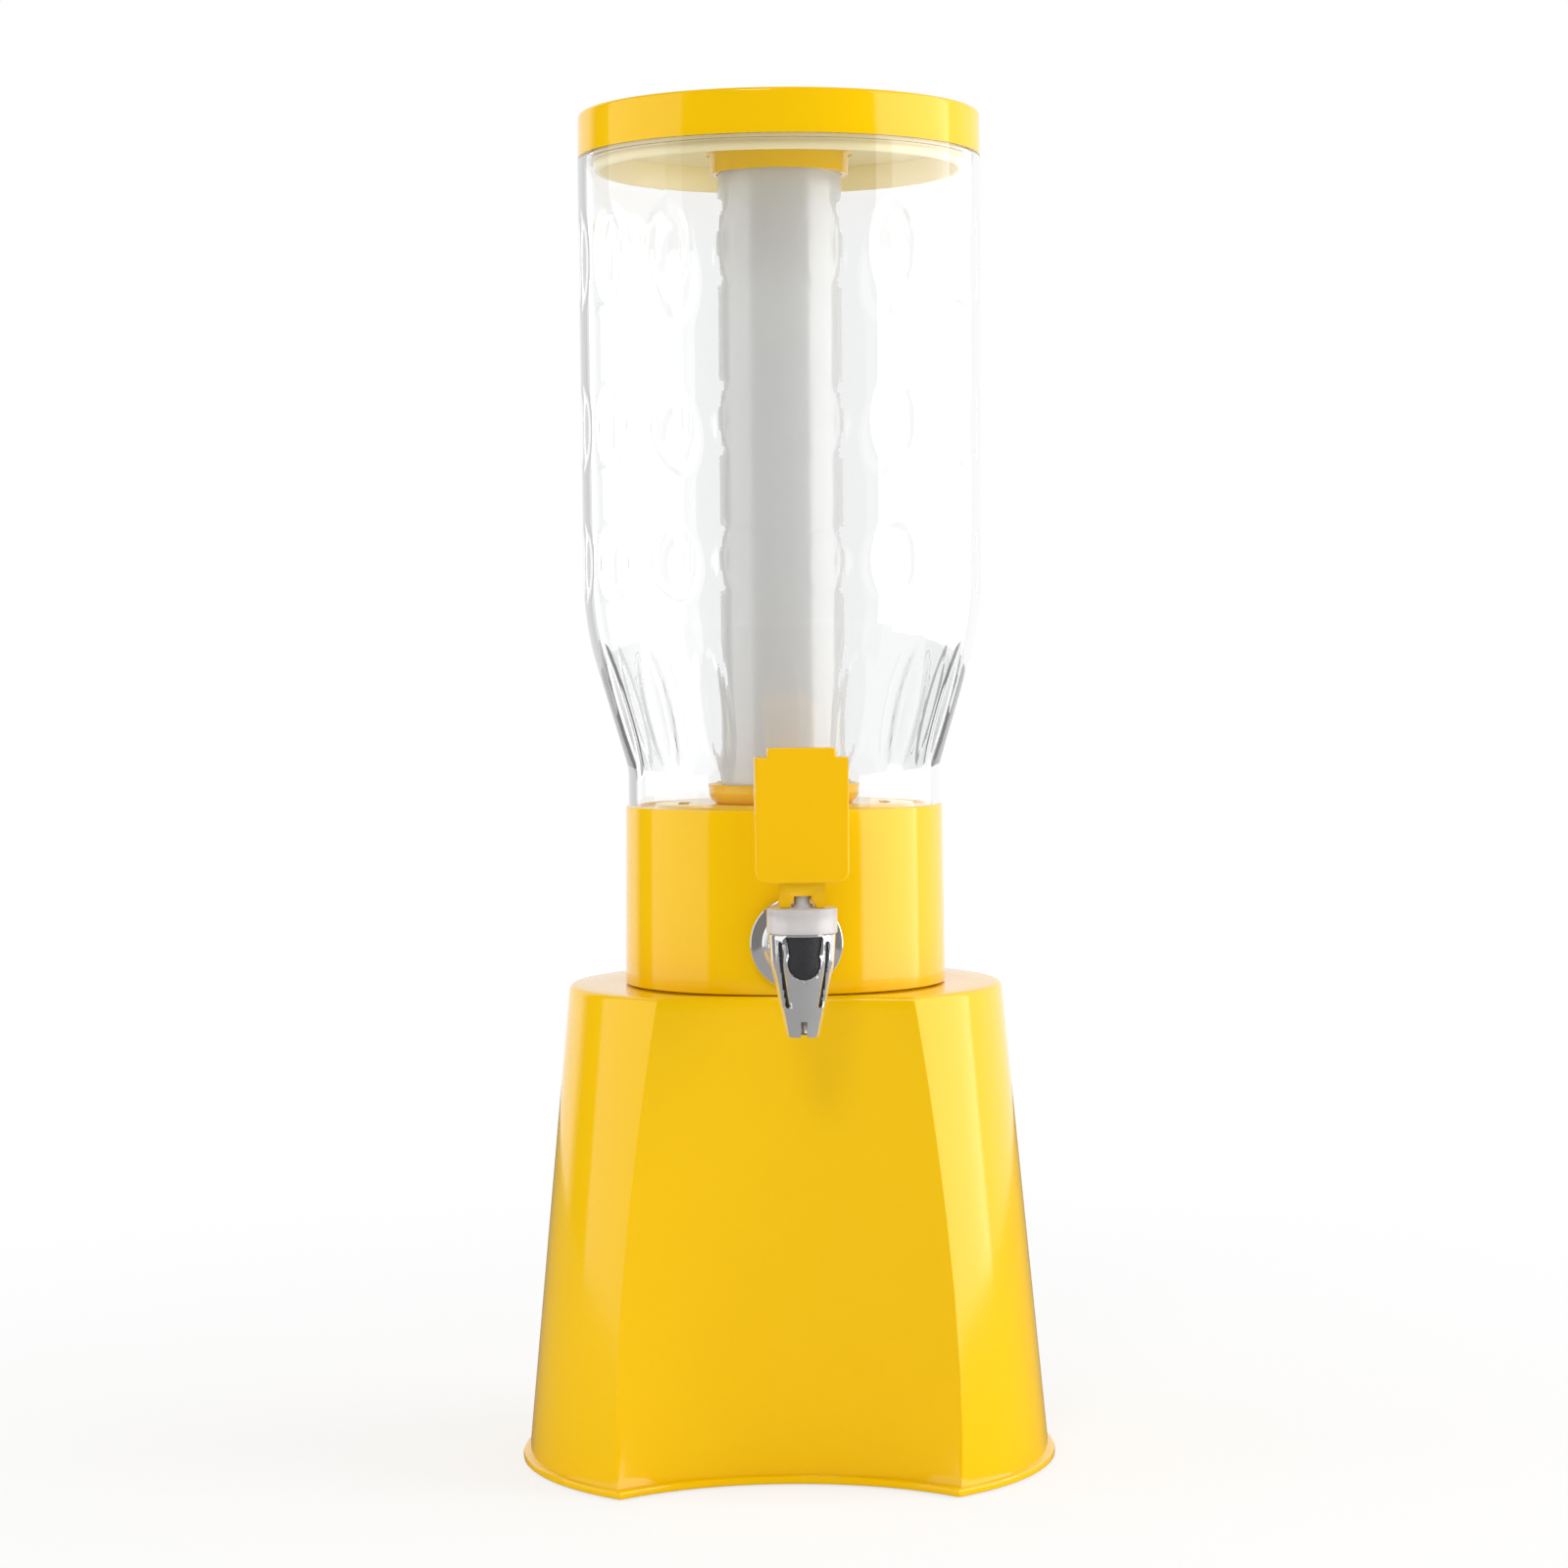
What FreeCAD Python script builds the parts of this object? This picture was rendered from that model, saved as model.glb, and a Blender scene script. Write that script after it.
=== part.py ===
"""Beer tower dispenser: a clear tank with a tap on a moulded base, cooled by an ice tube that hangs from the lid.

Millimetres. Z is up, the origin is on the tower's axis at the table, and -Y is the front.
"""

import FreeCAD, Part
import math
import os

from FreeCAD import Vector

# Base, from the table up
base_height = 169.3
base_foot_r = 93.0
base_top_r = 77.0
base_wall = 2.6
shoulder_round = 1.8
rim_reach = 2.0
rim_height = 2.6
rim_width = 12.0
rim_lift = 0.6
rim_r = base_foot_r + rim_reach
rim_inner_r = rim_r - rim_width
pad_r = 3.6
pad_depth = 1.2
pad_inset = 7.5
pad_circle_r = rim_r - pad_inset
pad_angles = (10, 62, 118, 170, 218, 322)
shelf_thickness = 3.0
rib_thickness = 2.2
rib_height = 17.0
base_rib_count = 6
base_rib_first_deg = -38.0
base_rib_last_deg = 218.0

# Scoop in the front of the base, which leaves room for a glass
scoop_top_y = 59.4
scoop_top_arc_r = 240.0
scoop_foot_y = 50.6
scoop_foot_arc_r = 88.2
scoop_half_width = 75.0
rim_scoop_reach = 1.0

# Collar cup, the bottom of the vessel, which plugs into the base
collar_foot_r = 57.0
collar_top_r = 56.4
collar_height = 63.5
collar_top_z = base_height + collar_height
collar_wall = 2.9
spigot_r = 54.4
spigot_depth = 19.3
spigot_foot_z = base_height - spigot_depth
cup_floor = 3.0
seam_gap = 0.3
fit_gap = 0.3
seat_rib_count = 6
seat_rib_drop = 11.8
seat_rib_top_z = collar_top_z - seat_rib_drop
seat_rib_depth = 4.7

# Twist lock between the collar cup and the base
lock_ring_inset = 9.4
lock_ring_r = spigot_r - lock_ring_inset
lock_ring_wall = 3.0
lock_lug_reach = 4.2
lock_lug_r = lock_ring_r + lock_lug_reach
lock_lug_height = 3.2
lock_lug_deg = 22.0
lock_gap_deg = 28.0
lock_turn_deg = 30.0
lock_count = 3
lock_clearance = 0.4
lock_stop_deg = 3.0

# Tank
tank_wall = 2.5
tank_height = 229.6
tank_step_z = collar_top_z + tank_height
tank_neck_step = 1.0
tank_neck_r = collar_top_r - tank_neck_step
tank_belly_r = 70.8
tank_swell = 0.8
tank_top_r = tank_belly_r + tank_swell
tank_neck_height = 9.2
tank_neck_top_z = collar_top_z + tank_neck_height
tank_taper_deg = 16.7
tank_neck_arc_r = 25.0
tank_belly_arc_r = 113.0
tank_spigot_depth = 11.5
tank_spigot_wall = 2.5
tank_rim_height = 12.3
tank_rim_wall = 2.3
tank_rim_step = 3.0
gasket_groove_depth = 1.6
gasket_height = 3.4
gasket_drop = 7.8
gasket_z = collar_top_z - gasket_drop

# Oval dimples in the tank's wall, and flutes round its neck
dimple_count = 16
dimple_depth = 1.3
dimple_width = 19.3
dimple_lengths = (35.7, 30.8, 28.4)
dimple_drops = (37.4, 96.4, 143.9)
flute_width = 12.6
flute_length = 50.0
flute_depth = 1.2
flute_rise = 34.2
flute_z = collar_top_z + flute_rise

# Lid, its plug and the ring that holds the ice tube
lid_inset = 0.2
lid_r = tank_top_r - lid_inset
lid_height = 15.4
lid_top_z = tank_step_z + lid_height
lid_wall = 2.4
lid_top_wall = 2.6
lid_round = 1.4
seal_wall = 2.5
seal_r = lid_r - lid_wall - fit_gap - tank_rim_wall - fit_gap
plug_r = seal_r - seal_wall
plug_wall = 2.2
plug_floor_drop = 11.3
plug_floor_z = lid_top_z - plug_floor_drop
seal_hang = 9.0
seal_foot_z = plug_floor_z - seal_hang
seal_grip = 5.5
holder_skin = 1.0
holder_height = 10.0
holder_flange_reach = 1.4
holder_flange_height = 3.0

# Ice tube
tube_r = 22.0
tube_wall = 2.0
tube_floor = 2.5
tube_gap = 0.3
tube_lug_reach = 1.3
tube_lug_height = 3.0
tube_lug_drop = 0.3
tube_lug_deg = 20.0
tube_lug_count = 2
tube_turn_deg = 35.0
tube_seal_height = 1.2

# Drain plate with the seat for the ice tube
plate_drop = 0.6
plate_top_z = collar_top_z - plate_drop
plate_wall = 2.2
plate_step = 4.7
plate_land_height = 1.0
tube_foot_z = plate_top_z + plate_land_height + fit_gap
seat_cup_foot_wall = 1.7
seat_cup_wall = 4.8
seat_cup_height = 7.0
seat_cup_lip = 1.2
seat_cup_lip_height = 2.0
seat_cup_flare = 0.4
seat_cup_bulge = 1.9
seat_cup_bulge_height = 1.6
seat_cup_lead = 3.0
seat_cup_root = 0.5
drain_inset = 6.9
drain_width = 4.0
drain_deg = 30.0
drain_count = 6

# Tap: its shank runs forward from the collar, turned a little to one side of the scoop's middle
tap_turn_deg = 3.8
tap_rise = 18.3
tap_z = base_height + tap_rise
shank_r = 8.0
shank_tail = 12.5
shank_hole_gap = 0.2
tap_boss_r = 16.0
tap_boss_depth = 3.6
tap_boss_back = collar_foot_r - collar_wall - tap_boss_depth
shank_back = tap_boss_back - shank_tail
saddle_r = 14.5
saddle_depth = 1.0
saddle_front = collar_foot_r + saddle_depth
flange_r = 16.0
flange_edge = 1.5
flange_hub_r = 11.5
flange_bevel = 1.2
flange_hub_bevel = 0.8
flange_depth = 4.6
flange_front = saddle_front + flange_depth
washer_r = 12.0
washer_thickness = 2.0
nut_across_flats = 26.0
nut_thickness = 7.0
body_hub_r = 10.0
arm_r = 5.8
arm_offset = 8.4
arm_start = flange_front + arm_offset
arm_bore_r = 3.8
nozzle_offset = 23.4
nozzle_reach = flange_front + nozzle_offset
spout_r = 5.4
spout_drop = 29.0
spout_foot_z = tap_z - spout_drop
spout_bore_r = 3.6
nozzle_rise = 5.9
nozzle_top_z = tap_z + nozzle_rise
nozzle_top_r = 11.25
nozzle_shoulder_r = 10.6
nozzle_shoulder_drop = 5.1
nozzle_shoulder_z = tap_z - nozzle_shoulder_drop
nozzle_round = 24.0
chamber_r = 8.0
chamber_low_r = 6.6
chamber_drop = 5.6
chamber_low_z = tap_z - chamber_drop
seat_rise = 14.9
seat_z = spout_foot_z + seat_rise
neck_r = 9.4
neck_height = 4.0
spout_notch_width = 2.1
spout_notch_height = 5.4

# Shield in the nozzle's front, and the grooves beside it
shield_half_top = 6.1
shield_half_middle = 5.1
shield_top_drop = 0.9
shield_middle_drop = 7.5
shield_foot_drop = 15.3
shield_top_z = nozzle_top_z - shield_top_drop
shield_middle_z = nozzle_top_z - shield_middle_drop
shield_foot_z = nozzle_top_z - shield_foot_drop
shield_recess = 0.4
shield_thickness = 1.0
groove_deg = 46.0
groove_width = 1.9
groove_depth = 0.7
groove_foot_rise = 9.9
groove_top_drop = 2.5
groove_low_z = spout_foot_z + groove_foot_rise
groove_high_z = nozzle_top_z - groove_top_drop

# Bonnet over the valve
bonnet_reach = 0.6
bonnet_r = nozzle_top_r + bonnet_reach
bonnet_height = 8.3
bonnet_top_z = nozzle_top_z + bonnet_height
bonnet_top_wall = 3.0
bonnet_thread_gap = 0.1
bonnet_boss_r = 3.6
bonnet_boss_height = 1.2
bonnet_round = 0.6

# Valve inside the nozzle
stem_r = 2.6
stem_gap = 0.08
stem_head_r = 4.0
stem_head_height = 3.0
stem_head_rise = 4.5
stem_head_z = seat_z + stem_head_rise
diaphragm_r = 5.6
diaphragm_wall = 1.0
diaphragm_sole_r = 4.8
diaphragm_flange = 1.3
spring_r = 3.65
spring_wire_r = 0.35
spring_turns = 7
spring_end_gap = 0.01

# Handle, which rocks on a pin through the stem
pin_rise = 5.5
pin_z = bonnet_top_z + pin_rise
pin_r = 1.25
pin_gap = 0.05
handle_half_width = 15.7
handle_foot_rise = 2.7
handle_foot_z = pin_z + handle_foot_rise
handle_height = 42.2
handle_top_z = handle_foot_z + handle_height
handle_corner_r = 4.0
handle_depth = 9.0
handle_round = 1.6
tab_half_width = 11.5
tab_height = 3.1
tab_corner_r = 1.2
prong_half_width = 7.55
prong_half_depth = 4.0
prong_gap = 0.2
arch_r = 4.75
arch_drop = 1.0
stem_room = 0.3
tilt_deg = 25.0

UP = Vector(0, 0, 1)
ORIGIN = Vector(0, 0, 0)
BIG = 200.0


def cylinder(radius, low, high, x=0.0, y=0.0):
    return Part.makeCylinder(radius, high - low, Vector(x, y, low), UP)


def ring(inner, outer, low, high):
    return cylinder(outer, low, high).cut(cylinder(inner, low, high))


def sector(inner, outer, low, high, middle_deg, sweep_deg):
    """A piece of a ring, centred on an angle counted from +X."""
    start = math.radians(middle_deg - sweep_deg / 2)
    solid = Part.makeCylinder(outer, high - low, Vector(0, 0, low), UP, sweep_deg)
    solid = solid.cut(cylinder(inner, low, high))
    solid.rotate(ORIGIN, UP, math.degrees(start))
    return solid


def section(points):
    """Lines through (radius, height) points, in the XZ plane."""
    corners = [Vector(r, 0, z) for r, z in points]
    return [Part.LineSegment(a, b).toShape() for a, b in zip(corners, corners[1:])]


def arc(start, middle, end):
    places = [Vector(r, 0, z) for r, z in (start, middle, end)]
    return Part.Arc(*places).toShape()


def spin(edges):
    """A solid of revolution from a closed section."""
    face = Part.Face(Part.Wire(Part.__sortEdges__(edges)))
    return face.revolve(ORIGIN, UP, 360)


def turned(points):
    return spin(section(list(points) + [points[0]]))


def around(shape, count, first_deg=0.0):
    copies = []
    for index in range(count):
        copy = shape.copy()
        copy.rotate(ORIGIN, UP, first_deg + index * 360.0 / count)
        copies.append(copy)
    return copies


def forward(shape):
    """Lays a shape made along +Z out along the tap's shank, from the tower's axis to the front."""
    shape.rotate(ORIGIN, Vector(1, 0, 0), 90)
    shape.translate(Vector(0, 0, tap_z))
    return shape


def at_tap(shape):
    """Turns a shape made straight in front of the tower to the tap's own bearing."""
    shape.rotate(ORIGIN, UP, tap_turn_deg)
    return shape


def at_nozzle(shape):
    """Moves a shape made on the tower's axis to the nozzle's axis, before the tap is turned."""
    shape.translate(Vector(0, -nozzle_reach, 0))
    return shape


def bar(width, depth, low, high, y=0.0):
    return Part.makeBox(width, depth, high - low, Vector(-width / 2, y - depth / 2, low))


# Base


def scoop_outline(front_y, arc_r, z, half_width=scoop_half_width):
    """A plane region in front of an arc that bows towards the tower's axis."""
    centre_y = -front_y - arc_r
    side_y = centre_y + math.sqrt(arc_r**2 - half_width**2)
    left = Vector(-half_width, side_y, z)
    right = Vector(half_width, side_y, z)
    far_right = Vector(half_width, -BIG, z)
    far_left = Vector(-half_width, -BIG, z)
    edges = [
        Part.Arc(left, Vector(0, -front_y, z), right).toShape(),
        Part.LineSegment(right, far_right).toShape(),
        Part.LineSegment(far_right, far_left).toShape(),
        Part.LineSegment(far_left, left).toShape(),
    ]
    return Part.Wire(edges)


def scoop(inset):
    """What the scoop takes away; inset moves its surface towards the tower's axis."""
    foot = scoop_outline(scoop_foot_y - inset, scoop_foot_arc_r + inset, 0)
    top = scoop_outline(scoop_top_y - inset, scoop_top_arc_r + inset, base_height)
    return Part.makeLoft([foot, top], True, True)


def base_slope():
    return (base_foot_r - base_top_r) / base_height


def base_outside():
    corner_z = base_height - shoulder_round
    edge_r = base_top_r + base_slope() * shoulder_round
    bend = shoulder_round * math.sqrt(0.5)
    middle = (edge_r - shoulder_round + bend, corner_z + bend)
    edges = section([(0, rim_lift), (base_foot_r, rim_lift), (edge_r, corner_z)])
    edges.append(arc((edge_r, corner_z), middle, (edge_r - shoulder_round, base_height)))
    edges += section([(edge_r - shoulder_round, base_height), (0, base_height), (0, rim_lift)])
    return spin(edges).cut(scoop(0))


def base_hollow():
    foot_r = base_foot_r - base_wall
    top_r = base_top_r - base_wall
    low, high = rim_lift - 1, base_height - base_wall
    inside = turned([(0, low), (foot_r, low), (top_r, high), (0, high)])
    return inside.cut(scoop(base_wall))


def rim():
    """The lip round the foot, which follows the scoop."""
    high = rim_lift + rim_height
    lip = ring(rim_inner_r, rim_r, rim_lift, high)
    out = rim_reach + rim_scoop_reach
    front_r = scoop_foot_arc_r - out
    front = scoop_outline(scoop_foot_y + out, front_r, 0, scoop_half_width * front_r / scoop_foot_arc_r)
    back = base_wall + rim_scoop_reach
    behind = scoop_outline(scoop_foot_y - back, scoop_foot_arc_r + back, 0)
    tall = Vector(0, 0, high)
    kept_front = Part.Face(front).extrude(tall)
    lip = lip.cut(kept_front)
    disc = cylinder(rim_r, rim_lift, high)
    strip = disc.common(Part.Face(behind).extrude(tall)).cut(kept_front)
    return lip.fuse(strip)


def pad_places():
    angles = [math.radians(degrees) for degrees in pad_angles]
    return [(pad_circle_r * math.cos(a), pad_circle_r * math.sin(a)) for a in angles]


def socket():
    """The well in the shoulder that takes the collar's spigot, with the twist lock's shelf."""
    inner = spigot_r + fit_gap
    shelf_top = spigot_foot_z
    shelf_low = shelf_top - shelf_thickness
    well = ring(inner, inner + base_wall, shelf_low, base_height)
    shelf = ring(lock_ring_r + lock_clearance, inner + base_wall, shelf_low, shelf_top)
    for index in range(lock_count):
        middle = 90 - lock_turn_deg + index * 360 / lock_count
        gap_r = lock_lug_r + lock_clearance
        shelf = shelf.cut(sector(1, gap_r, shelf_low - 1, shelf_top + 1, middle, lock_gap_deg))
        stop_at = 90 + lock_lug_deg / 2 + lock_stop_deg / 2 + 0.5 + index * 360 / lock_count
        stop_low = shelf_low - lock_lug_height
        stop = sector(lock_ring_r + lock_clearance, lock_lug_r, stop_low, shelf_low, stop_at, lock_stop_deg)
        shelf = shelf.fuse(stop)
    return well.fuse(shelf)


def base_ribs():
    """Webs that tie the socket to the base's wall."""
    high = base_height - base_wall / 2
    web = Part.makeBox(base_foot_r, rib_thickness, rib_height, Vector(0, -rib_thickness / 2, high - rib_height))
    step = (base_rib_last_deg - base_rib_first_deg) / (base_rib_count - 1)
    webs = []
    for index in range(base_rib_count):
        copy = web.copy()
        copy.rotate(ORIGIN, UP, base_rib_first_deg + index * step)
        webs.append(copy)
    return webs


def base_shell():
    outside = base_outside()
    well_r = spigot_r + fit_gap
    shell = outside.cut(base_hollow())
    shell = shell.cut(cylinder(well_r, base_height - base_wall - 1, base_height + 1))
    inner_parts = socket().fuse(base_ribs())
    inner_parts = inner_parts.cut(cylinder(well_r, spigot_foot_z, base_height + 1))
    inner_parts = inner_parts.common(outside)
    shell = shell.fuse(inner_parts).fuse(rim())
    for x, y in pad_places():
        shell = shell.cut(cylinder(pad_r, 0, rim_lift + pad_depth, x, y))
    return shell.removeSplitter()


def foot_pads():
    pads = [cylinder(pad_r, 0, rim_lift + pad_depth, x, y) for x, y in pad_places()]
    return Part.makeCompound(pads)


# Collar cup and its fittings


def collar_r_at(z):
    share = (z - base_height) / (collar_top_z - base_height)
    return collar_foot_r + (collar_top_r - collar_foot_r) * share


def collar_outside():
    low = base_height + seam_gap
    return turned([(0, low), (collar_r_at(low), low), (collar_top_r, collar_top_z), (0, collar_top_z)])


def collar_bore():
    return collar_top_r - collar_wall


def collar_cup():
    low = base_height + seam_gap
    bore = collar_bore()
    spigot_bore = spigot_r - collar_wall
    step_z = low + cup_floor
    floor_z = spigot_foot_z + cup_floor
    cup = turned(
        [
            (0, spigot_foot_z),
            (spigot_r, spigot_foot_z),
            (spigot_r, low),
            (collar_r_at(low), low),
            (collar_top_r, collar_top_z),
            (bore, collar_top_z),
            (bore, step_z),
            (spigot_bore, step_z),
            (spigot_bore, floor_z),
            (0, floor_z),
        ]
    )
    rib_reach = seat_rib_depth + 1
    rib = Part.makeBox(rib_reach, rib_thickness, seat_rib_top_z - step_z + 1, Vector(0, -rib_thickness / 2, step_z - 1))
    rib.translate(Vector(bore + 1 - rib_reach, 0, 0))
    cup = cup.fuse(around(rib, seat_rib_count, tap_turn_deg))
    boss = forward(cylinder(tap_boss_r, tap_boss_back, collar_foot_r)).common(collar_outside())
    cup = cup.fuse(at_tap(boss))
    lock = ring(lock_ring_r - lock_ring_wall, lock_ring_r, lock_low_z(), spigot_foot_z)
    lug = sector(lock_ring_r - 1, lock_lug_r, lock_low_z(), lock_low_z() + lock_lug_height - fit_gap, 90, lock_lug_deg)
    cup = cup.fuse([lock] + around(lug, lock_count))
    hole = forward(cylinder(shank_r + shank_hole_gap, tap_boss_back - 2, collar_foot_r + 2))
    return cup.cut(at_tap(hole)).removeSplitter()


def lock_low_z():
    return spigot_foot_z - shelf_thickness - lock_lug_height


def tube_seat():
    """The drain plate: it stands on the collar's ribs, drains round its edge and centres the ice tube."""
    plate_r = collar_bore() - fit_gap - tank_spigot_wall - fit_gap
    low = plate_top_z - plate_wall
    land_z = plate_top_z + plate_land_height
    land_r = plate_r - plate_step
    plate = turned(
        [
            (0, low),
            (plate_r - plate_wall, low),
            (plate_r - plate_wall, seat_rib_top_z),
            (plate_r, seat_rib_top_z),
            (plate_r, plate_top_z),
            (land_r, plate_top_z),
            (land_r, land_z),
            (0, land_z),
        ]
    )
    top_z = land_z + seat_cup_height
    bore = tube_r + tube_gap
    root_z = land_z - seat_cup_root
    foot_r = bore + seat_cup_foot_wall
    cup_r = bore + seat_cup_wall
    lip_low = (cup_r - seat_cup_flare, top_z - seat_cup_lip_height)
    bulge = (foot_r + seat_cup_bulge, land_z + seat_cup_bulge_height)
    edges = section([(bore, root_z), (foot_r, root_z), (foot_r, land_z)])
    edges.append(arc((foot_r, land_z), bulge, lip_low))
    mouth = [(cup_r, top_z), (cup_r - seat_cup_lip, top_z), (bore, top_z - seat_cup_lead)]
    edges += section([lip_low] + mouth + [(bore, root_z)])
    seat = plate.fuse(spin(edges)).cut(cylinder(bore, tube_foot_z - fit_gap, top_z))
    drain_r = cup_r + drain_inset
    slot = sector(drain_r, drain_r + drain_width, low - 1, land_z + 1, 90 + 180.0 / drain_count, drain_deg)
    for cutter in around(slot, drain_count):
        seat = seat.cut(cutter)
    return seat.removeSplitter()


# Tank


def tank_bends():
    """Where the tank's straight neck, its taper and its body meet, as (radius, height)."""
    angle = math.radians(tank_taper_deg)
    bend = 1 - math.cos(angle)
    low = (tank_neck_r + tank_neck_arc_r * bend, tank_neck_top_z + tank_neck_arc_r * math.sin(angle))
    run = tank_belly_r - tank_belly_arc_r * bend - low[0]
    high = (low[0] + run, low[1] + run / math.tan(angle))
    belly = (tank_belly_r, high[1] + tank_belly_arc_r * math.sin(angle))
    return low, high, belly


def tank_side(inset, foot_z, top_z):
    """The tank's side from the neck to the top; inset moves it inwards by the wall."""
    low, high, belly = tank_bends()
    half = math.radians(tank_taper_deg) / 2
    neck_middle = (
        tank_neck_r + tank_neck_arc_r * (1 - math.cos(half)),
        tank_neck_top_z + tank_neck_arc_r * math.sin(half),
    )
    belly_middle = (
        tank_belly_r - tank_belly_arc_r * (1 - math.cos(half)),
        belly[1] - tank_belly_arc_r * math.sin(half),
    )

    def moved(place):
        return (place[0] - inset, place[1])

    edges = section([(tank_neck_r - inset, foot_z), (tank_neck_r - inset, tank_neck_top_z)])
    edges.append(arc((tank_neck_r - inset, tank_neck_top_z), moved(neck_middle), moved(low)))
    edges += section([moved(low), moved(high)])
    edges.append(arc(moved(high), moved(belly_middle), moved(belly)))
    edges += section([moved(belly), (tank_top_r - inset, top_z)])
    return edges


def tank_radius_at(z):
    """Outer radius of the tank's body, above its bends."""
    belly = tank_bends()[2]
    share = (z - belly[1]) / (tank_step_z - belly[1])
    return tank_belly_r + (tank_top_r - tank_belly_r) * share


def oval_cutter(length, width, depth, wall_r):
    """A barrel on the Z axis that cuts an oval of this length and width into a round wall in front of it.

    It is returned with how far outside the wall its axis stands.
    """
    half = width / 2
    drop = wall_r - math.sqrt(wall_r**2 - half**2)
    outside = (half**2 + drop**2 - depth**2) / (2 * (depth - drop))
    barrel_r = outside + depth
    bow_r = (length / 2) ** 2 / (2 * depth)
    reach = length * 0.75
    edge_r = barrel_r - bow_r + math.sqrt(bow_r**2 - reach**2)
    edges = [arc((edge_r, -reach), (barrel_r, 0), (edge_r, reach))]
    edges += section([(edge_r, reach), (0, reach), (0, -reach), (edge_r, -reach)])
    keep = Part.makeBox(barrel_r, width * 2, reach * 4, Vector(-barrel_r * 1.5, -width, -reach * 2))
    return spin(edges).common(keep), outside


def dimples():
    cutters = []
    for drop, height in zip(dimple_drops, dimple_lengths):
        z = tank_step_z - drop
        wall_r = tank_radius_at(z)
        barrel, outside = oval_cutter(height, dimple_width, dimple_depth, wall_r)
        barrel.translate(Vector(wall_r + outside, 0, z))
        half_pitch = 180.0 / dimple_count
        cutters += around(barrel, dimple_count, half_pitch)
    return cutters


def flutes():
    low, high, _ = tank_bends()
    share = (flute_z - low[1]) / (high[1] - low[1])
    wall_r = low[0] + (high[0] - low[0]) * share
    barrel, outside = oval_cutter(flute_length, flute_width, flute_depth, wall_r)
    barrel.translate(Vector(outside, 0, 0))
    barrel.rotate(ORIGIN, Vector(0, 1, 0), tank_taper_deg)
    barrel.translate(Vector(wall_r, 0, flute_z))
    return around(barrel, dimple_count)


def tank():
    step_z = tank_step_z
    spigot = collar_bore() - fit_gap
    spigot_bore = spigot - tank_spigot_wall
    spigot_low = collar_top_z - tank_spigot_depth
    rim_out = lid_r - lid_wall - fit_gap
    rim_in = rim_out - tank_rim_wall
    rim_top = step_z + tank_rim_height
    inner_top_r = tank_top_r - tank_wall
    inner_step_z = step_z - tank_rim_step
    ledge_z = plate_top_z + 2
    spigot_points = [(spigot_bore, spigot_low), (spigot, spigot_low), (spigot, collar_top_z)]
    edges = section(spigot_points + [(tank_neck_r, collar_top_z)])
    edges += tank_side(0, collar_top_z, step_z)
    edges += section([(tank_top_r, step_z), (rim_out, step_z), (rim_out, rim_top), (rim_in, rim_top), (rim_in, step_z)])
    edges += section([(rim_in, step_z), (inner_top_r, inner_step_z)])
    edges += tank_side(tank_wall, ledge_z + 2, inner_step_z)
    edges += section([(tank_neck_r - tank_wall, ledge_z + 2), (spigot_bore, ledge_z), (spigot_bore, spigot_low)])
    body = spin(edges)
    groove = ring(spigot - gasket_groove_depth, spigot + 1, gasket_z, gasket_z + gasket_height)
    body = body.cut(groove)
    return body.cut(dimples() + flutes())


def tank_gasket():
    outer = collar_bore()
    return ring(outer - fit_gap - gasket_groove_depth, outer, gasket_z, gasket_z + gasket_height)


# Lid and ice tube


def lid_cover():
    low = lid_top_z - lid_height
    bore = lid_r - lid_wall
    ceiling = lid_top_z - lid_top_wall
    bend = lid_round * math.sqrt(0.5)
    corner = (lid_r - lid_round + bend, lid_top_z - lid_round + bend)
    edges = section([(0, ceiling), (bore, ceiling), (bore, low), (lid_r, low), (lid_r, lid_top_z - lid_round)])
    edges.append(arc((lid_r, lid_top_z - lid_round), corner, (lid_r - lid_round, lid_top_z)))
    edges += section([(lid_r - lid_round, lid_top_z), (0, lid_top_z), (0, ceiling)])
    return spin(edges)


def lid_plug():
    """The drum under the lid: its wall carries the seal, its floor carries the tube's ring."""
    ceiling = lid_top_z - lid_top_wall
    inner = plug_r - plug_wall
    floor_top = plug_floor_z + plug_wall
    return turned(
        [
            (0, plug_floor_z),
            (plug_r, plug_floor_z),
            (plug_r, ceiling),
            (inner, ceiling),
            (inner, floor_top),
            (0, floor_top),
        ]
    )


def lid_seal():
    """A soft ring that grips the plug and hangs below it inside the tank's rim."""
    return ring(plug_r, seal_r, seal_foot_z, plug_floor_z + seal_grip)


def tube_channel_r():
    return tube_r + tube_gap + tube_lug_reach


def tube_top_z():
    return plug_floor_z - tube_seal_height


def tube_holder():
    """A ring with two hooked channels, so that the ice tube goes in straight and locks with a turn."""
    bore = tube_r + tube_gap
    holder_r = tube_channel_r() + holder_skin
    holder_foot_z = plug_floor_z - holder_height
    holder = ring(bore, holder_r, holder_foot_z, plug_floor_z)
    flange = ring(bore, holder_r + holder_flange_reach, plug_floor_z - holder_flange_height, plug_floor_z)
    holder = holder.fuse(flange).removeSplitter()
    high = tube_top_z()
    low = high - tube_lug_height
    room = 2 * math.degrees(tube_gap / tube_r)
    for index in range(tube_lug_count):
        middle = index * 360 / tube_lug_count
        swept = tube_lug_deg + room + tube_turn_deg
        channel = sector(1, tube_channel_r(), low, plug_floor_z, middle + tube_turn_deg / 2, swept)
        entry_at = middle + tube_turn_deg
        entry = sector(1, tube_channel_r(), holder_foot_z, high, entry_at, tube_lug_deg + room)
        holder = holder.cut(channel).cut(entry)
    return holder


def tube_seal():
    return ring(tube_r - tube_wall, tube_r, tube_top_z(), plug_floor_z)


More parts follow.
